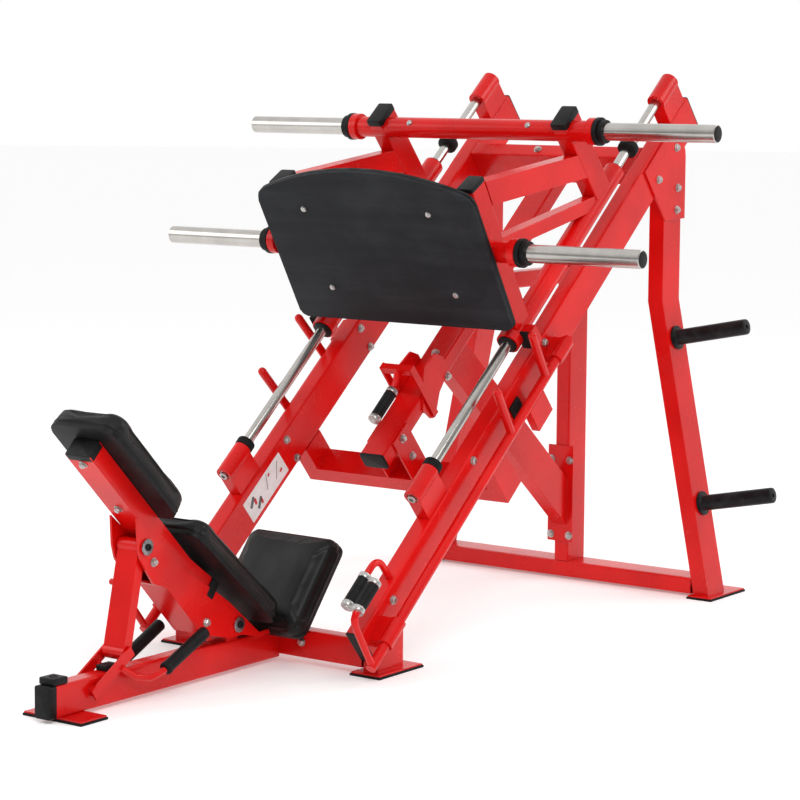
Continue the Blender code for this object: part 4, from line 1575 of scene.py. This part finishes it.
    def build(self) -> None:
        """Make the cover, its board and its two rows of piping."""
        even = self.remeshed(self.blank())
        self.filled(even)
        self.crowned(even)
        finer = even.modifiers.new("finer", "SUBSURF")
        finer.levels = finer.render_levels = 1
        graph = bpy.context.evaluated_depsgraph_get()
        mesh = bpy.data.meshes.new_from_object(even.evaluated_get(graph))
        bpy.data.objects.remove(even)
        surface = bmesh.new()
        surface.from_mesh(mesh)
        tree = BVHTree.FromBMesh(surface)
        surface.free()
        lower = self.spaced(self.rim(tree, self.board + 0.0075))
        upper = self.spaced(self.rim(tree, self.height * 0.70))
        mesh.transform(self.frame)
        mesh.materials.clear()
        mesh.materials.append(VINYL.material())
        mesh.shade_smooth()
        cover = bpy.data.objects.new(self.name, mesh)
        bpy.context.scene.collection.objects.link(cover)
        hand_over(cover, "backrest", [self.node])
        for word, line in (("lower", lower), ("upper", upper)):
            placed = [self.frame @ p for p in line]
            welt(f"{self.name}_{word}_piping", placed, 0.0013, VINYL, "backrest")
        board = Shape(f"{self.name}_board", self.frame)
        outline = rounded_box(self.width - 0.012, self.length - 0.012, self.corner - 0.006, 6)
        board.drawn(outline, 0.0008, self.board + 0.003, Matrix.Identity(4), CAP, 0.002)
        board.done("backrest")


def pad_frame(middle: Pair, down: Pair) -> Matrix:
    """The frame of a pad that faces up the machine.

    Args:
        middle: (Y, Z) of the board's middle in the MACHINE frame.
        down: the (Y, Z) direction of the pad's own Y.

    Returns:
        The frame.
    """
    along = Vector((0, *down)).normalized()
    across = Vector((1, 0, 0))
    out = across.cross(along)
    turn = Matrix((across, along, out)).transposed().to_4x4()
    return MACHINE @ Matrix.Translation((0, *middle)) @ turn


@dataclass
class Seat:
    """The three pads and the trim of the frame that carries them."""

    thickness: float = 0.0605
    tube_top: Pair = (0.1418, 0.6480)
    tube_low: Pair = (0.4750, 0.3125)
    stub: Pair = (0.5800, 0.2360)
    stub_way: Pair = (0.105, -0.0765)
    tilt_pin: Pair = (0.672, 0.134)
    strut_pin: Pair = (0.318, 0.387)

    def tube(self) -> tuple[Vector, Vector]:
        """The back tube's top end, and the direction down its length.

        Returns:
            The end and the direction, as (Y, Z) vectors.
        """
        start = Vector(self.tube_top)
        return start, (Vector(self.tube_low) - start).normalized()

    def pads(self) -> list[Pad]:
        """The pads, upper back first.

        Returns:
            The pads.
        """
        made = []
        backs = (
            ("upper_back_cushion", "back_pad_upper", (0.2633, 0.6050), 45.2, 0.362, 0.010, 0.070),
            ("lower_back_cushion", "back_pad_lower", (0.6131, 0.2916), 41.0, 0.437, 0.006, 0.064),
        )
        for name, node, (y, z), degrees, length, down, height in backs:
            angle = math.radians(degrees)
            out = Vector((math.sin(angle), math.cos(angle)))
            along = Vector((math.cos(angle), -math.sin(angle)))
            board = Vector((y, z)) - out * self.thickness / 2 + along * down
            made.append(Pad(name, node, pad_frame(tuple(board), tuple(along)), 0.226, length, height, 0.042))
        front, rear = Vector((0.989, 0.284)), Vector((0.848, 0.108))
        low = (front + rear) / 2
        along = (front - rear).normalized()
        up = Vector((-along.y, along.x))
        middle = low - along * 0.010 + up * 0.001
        frame = pad_frame(tuple(middle), tuple(along))
        made.append(Pad("seat_cushion", "seat_pad", frame, 0.304, 0.296, 0.067, 0.032))
        return made

    def build(self) -> None:
        """Make the pads, and the caps and washers of their frame."""
        for pad in self.pads():
            pad.build()
        start, way = self.tube()
        cap = Shape("back_tube_caps")
        for point, aim, width, depth in (
            (start, -way, 0.0804, 0.018),
            (Vector(self.stub), Vector(self.stub_way).normalized(), 0.0945, 0.024),
        ):
            out = Vector((0, *aim))
            across = Vector((1, 0, 0))
            turn = Matrix((across, out.cross(across), out)).transposed().to_4x4()
            place = Matrix.Translation((0, *point)) @ turn
            cap.drawn(rounded_box(width, 0.0514, 0.004), -depth, 0.004, place, CAP, 0.002)
        cap.done("backrest")
        pivots = Shape("pivot_washers")
        for y, z in (self.tilt_pin, self.strut_pin):
            for sign in (1, -1):
                plate = [(sign * a, r) for a, r in capped(0.0493, 0.0525, 0.0205, 0.001)]
                pivots.turned(plate, (0, y, z), Along.X, WASHER, 48)
                head = [
                    (0.0520, 0), (0.0520, 0.0095), (0.0565, 0.0090), (0.0575, 0.0075),
                    (0.0575, 0.0045), (0.0550, 0.0045), (0.0550, 0),
                ]  # fmt: skip
                pivots.turned([(sign * a, r) for a, r in head], (0, y, z), Along.X, CAP, 32)
        pivots.done("backrest")

    def fasten(self, set_: Fasteners) -> None:
        """Add the back tube's fasteners.

        Args:
            set_: the backrest's fasteners.
        """
        start, way = self.tube()
        under = Vector((way.y, -way.x))
        for along in (0.030, 0.205):
            point = start + way * along + under * 0.025
            set_.put(MACHINE, (0, *point), (0, *under))
        for sign in (1, -1):
            set_.put(MACHINE, (sign * 0.0463, 0.345, 0.345), (sign, 0, 0))
            set_.put(MACHINE, (sign * 0.0463, 0.545, 0.160), (sign, 0, 0))


@dataclass
class LiftFork:
    """Sleeves over the lift levers' ends. MACHINE frame, measured from the fork's hinge."""

    hinge: Triple = (0.0, 0.145, 0.055)
    radius: float = 0.0160

    def build(self) -> None:
        """Make the two sleeves."""
        for side, sign in SIDES:
            line = [(sign * 0.0722, 0.215, 0.0227), (sign * 0.075, 0.360, 0.0906)]
            low, high = (Vector(p) + Vector(self.hinge) for p in line)
            sleeve = Shape(f"lift_grip_sleeve_{side}")
            steps = [low.lerp(high, i / 8) for i in range(9)]
            sleeve.rod(steps, self.radius, GRIP, 32)
            sleeve.rod([low.lerp(high, 0.0), low.lerp(high, 0.045)], self.radius + 0.0016, GRIP, 32)
            sleeve.done("lift_fork")


# ---------------------------------------------------------------- studio


@dataclass
class Studio:
    """A pale floor, soft lights and the camera."""

    camera_at: Triple = (4.2291, -5.6242, 1.5293)
    yaw: float = math.radians(35.54)
    pitch: float = math.radians(6.31)
    roll: float = math.radians(0.496)
    lens: float = 115.85
    shift: Pair = (-0.0267, -0.0406)
    backdrop: Triple = (-0.45, 0.62, 0.64)
    room: float = 0.30
    white: float = 1.0
    floor_half: float = 60.0

    def build(self) -> None:
        """Make the floor, lights, world and camera."""
        mesh = bpy.data.meshes.new("studio_floor")
        half = self.floor_half
        corners = [(-half, -half, 0), (half, -half, 0), (half, half, 0), (-half, half, 0)]
        mesh.from_pydata(corners, [], [(0, 1, 2, 3)])
        mesh.materials.append(PAPER.material())
        floor = bpy.data.objects.new("studio_floor", mesh)
        bpy.context.scene.collection.objects.link(floor)
        self.light("key_light", (3.6, -3.6, 4.4), (0, 0, 0.6), 2.6, 150)
        self.light("fill_light", (-4.6, -3.2, 3.2), (0, 0, 0.7), 3.2, 60)
        self.light("rim_light", (3.2, 3.6, 4.0), (0, 0, 0.8), 2.4, 60)
        bpy.context.scene.world = self.surround()
        bpy.context.scene.view_settings.view_transform = "Standard"
        self.camera()

    def surround(self) -> bpy.types.World:
        """A white backdrop that falls off to a dim room on the side that the machine faces.

        Returns:
            The world.
        """
        world = bpy.data.worlds.new("white_backdrop")
        world.use_nodes = True
        nodes, links = world.node_tree.nodes, world.node_tree.links
        here = nodes.new("ShaderNodeTexCoord")
        toward = nodes.new("ShaderNodeVectorMath")
        toward.operation = "DOT_PRODUCT"
        toward.inputs[1].default_value = self.backdrop
        fall = nodes.new("ShaderNodeMapRange")
        fall.interpolation_type = "SMOOTHSTEP"
        values = {"From Min": -0.35, "From Max": 0.55, "To Min": self.room, "To Max": self.white}
        for name, value in values.items():
            fall.inputs[name].default_value = value
        links.new(here.outputs["Generated"], toward.inputs[0])
        links.new(toward.outputs["Value"], fall.inputs["Value"])
        links.new(fall.outputs["Result"], nodes["Background"].inputs["Strength"])
        nodes["Background"].inputs["Color"].default_value = (1, 1, 1, 1)
        return world

    def light(self, name: str, at: Triple, target: Triple, size: float, power: float) -> None:
        """Add a soft square light.

        Args:
            name: its name.
            at: where it stands.
            target: what it points at.
            size: its side.
            power: in watts.
        """
        data = bpy.data.lights.new(name, "AREA")
        data.size = size
        data.energy = power
        lamp = bpy.data.objects.new(name, data)
        lamp.location = at
        lamp.rotation_euler = (Vector(target) - Vector(at)).to_track_quat("-Z", "Y").to_euler()
        bpy.context.scene.collection.objects.link(lamp)

    def camera(self) -> None:
        """Add the camera and make it the scene's."""
        yaw, pitch = self.yaw, self.pitch
        ahead = Vector(
            (-math.sin(yaw) * math.cos(pitch), math.cos(yaw) * math.cos(pitch), -math.sin(pitch))
        )
        right = Vector((math.cos(yaw), math.sin(yaw), 0))
        up = right.cross(ahead)
        level = right * math.cos(self.roll) + up * math.sin(self.roll)
        above = up * math.cos(self.roll) - right * math.sin(self.roll)
        data = bpy.data.cameras.new("camera")
        data.sensor_width = 36
        data.lens = self.lens
        data.shift_x, data.shift_y = self.shift
        data.clip_end = 60
        camera = bpy.data.objects.new("camera", data)
        turn = Matrix((level, above, -ahead)).transposed().to_4x4()
        camera.matrix_world = Matrix.Translation(self.camera_at) @ turn
        bpy.context.scene.collection.objects.link(camera)
        bpy.context.scene.camera = camera


# ---------------------------------------------------------------- assembly


def clear_start_scene() -> None:
    """Remove what a new file holds."""
    for thing in list(bpy.data.objects):
        bpy.data.objects.remove(thing, do_unlink=True)


def painted_members() -> list[Weldment]:
    """The painted CAD nodes of every body.

    Returns:
        One weldment for each body.
    """
    root = (
        "spine", "front_crossbar", "rear_crossbar", "centre_column", "centre_post", "column_brace",
        "lower_crossbar",
        *both("front_post", "rail", "rod_socket", "rod_top_bracket", "rear_post", "gusset"),
    )  # fmt: skip
    carriage = (
        "lower_plate_mount", "upper_plate_mount",
        *both("bearing_tube", "carriage_upright", "front_arm", "upper_arm", "carriage_brace"),
    )  # fmt: skip
    return [
        Weldment("root", root),
        Weldment("carriage", carriage),
        Weldment("stop_right", ("stop_shaft_right",)),
        Weldment("stop_left", ("stop_shaft_left",)),
        Weldment("range_lever", ("range_stop_lever",)),
        Weldment("backrest", ("back_frame",)),
        Weldment("lift_fork", ("lift_fork",)),
        Weldment("strut", ("strut",)),
    ]


def main() -> None:
    """Build every sub-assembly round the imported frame."""
    logging.basicConfig(level=logging.INFO, format="%(message)s")
    clear_start_scene()
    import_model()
    Studio().build()
    for weldment in painted_members():
        weldment.build()
    base, guides, carriage, seat = Base(), Guides(), Carriage(), Seat()
    for unit in (base, guides, Handles(), RearFrame(), carriage, FootPlate(), seat, LiftFork()):
        unit.build()
    frame_nuts = Fasteners("root")
    base.fasten(frame_nuts)
    guides.fasten(frame_nuts)
    frame_nuts.build("frame_nuts")
    back_nuts = Fasteners("backrest", radius=0.009, washer=0.0115, seed=3)
    seat.fasten(back_nuts)
    back_nuts.build("back_nuts")
    screws = Fasteners("carriage", Head.SCREW, 0.0078, 0.004, 0.0088, 0.0008, 0.0035, 5)
    carriage.fasten(screws)
    screws.build("carriage_screws")


if __name__ == "__main__":
    main()
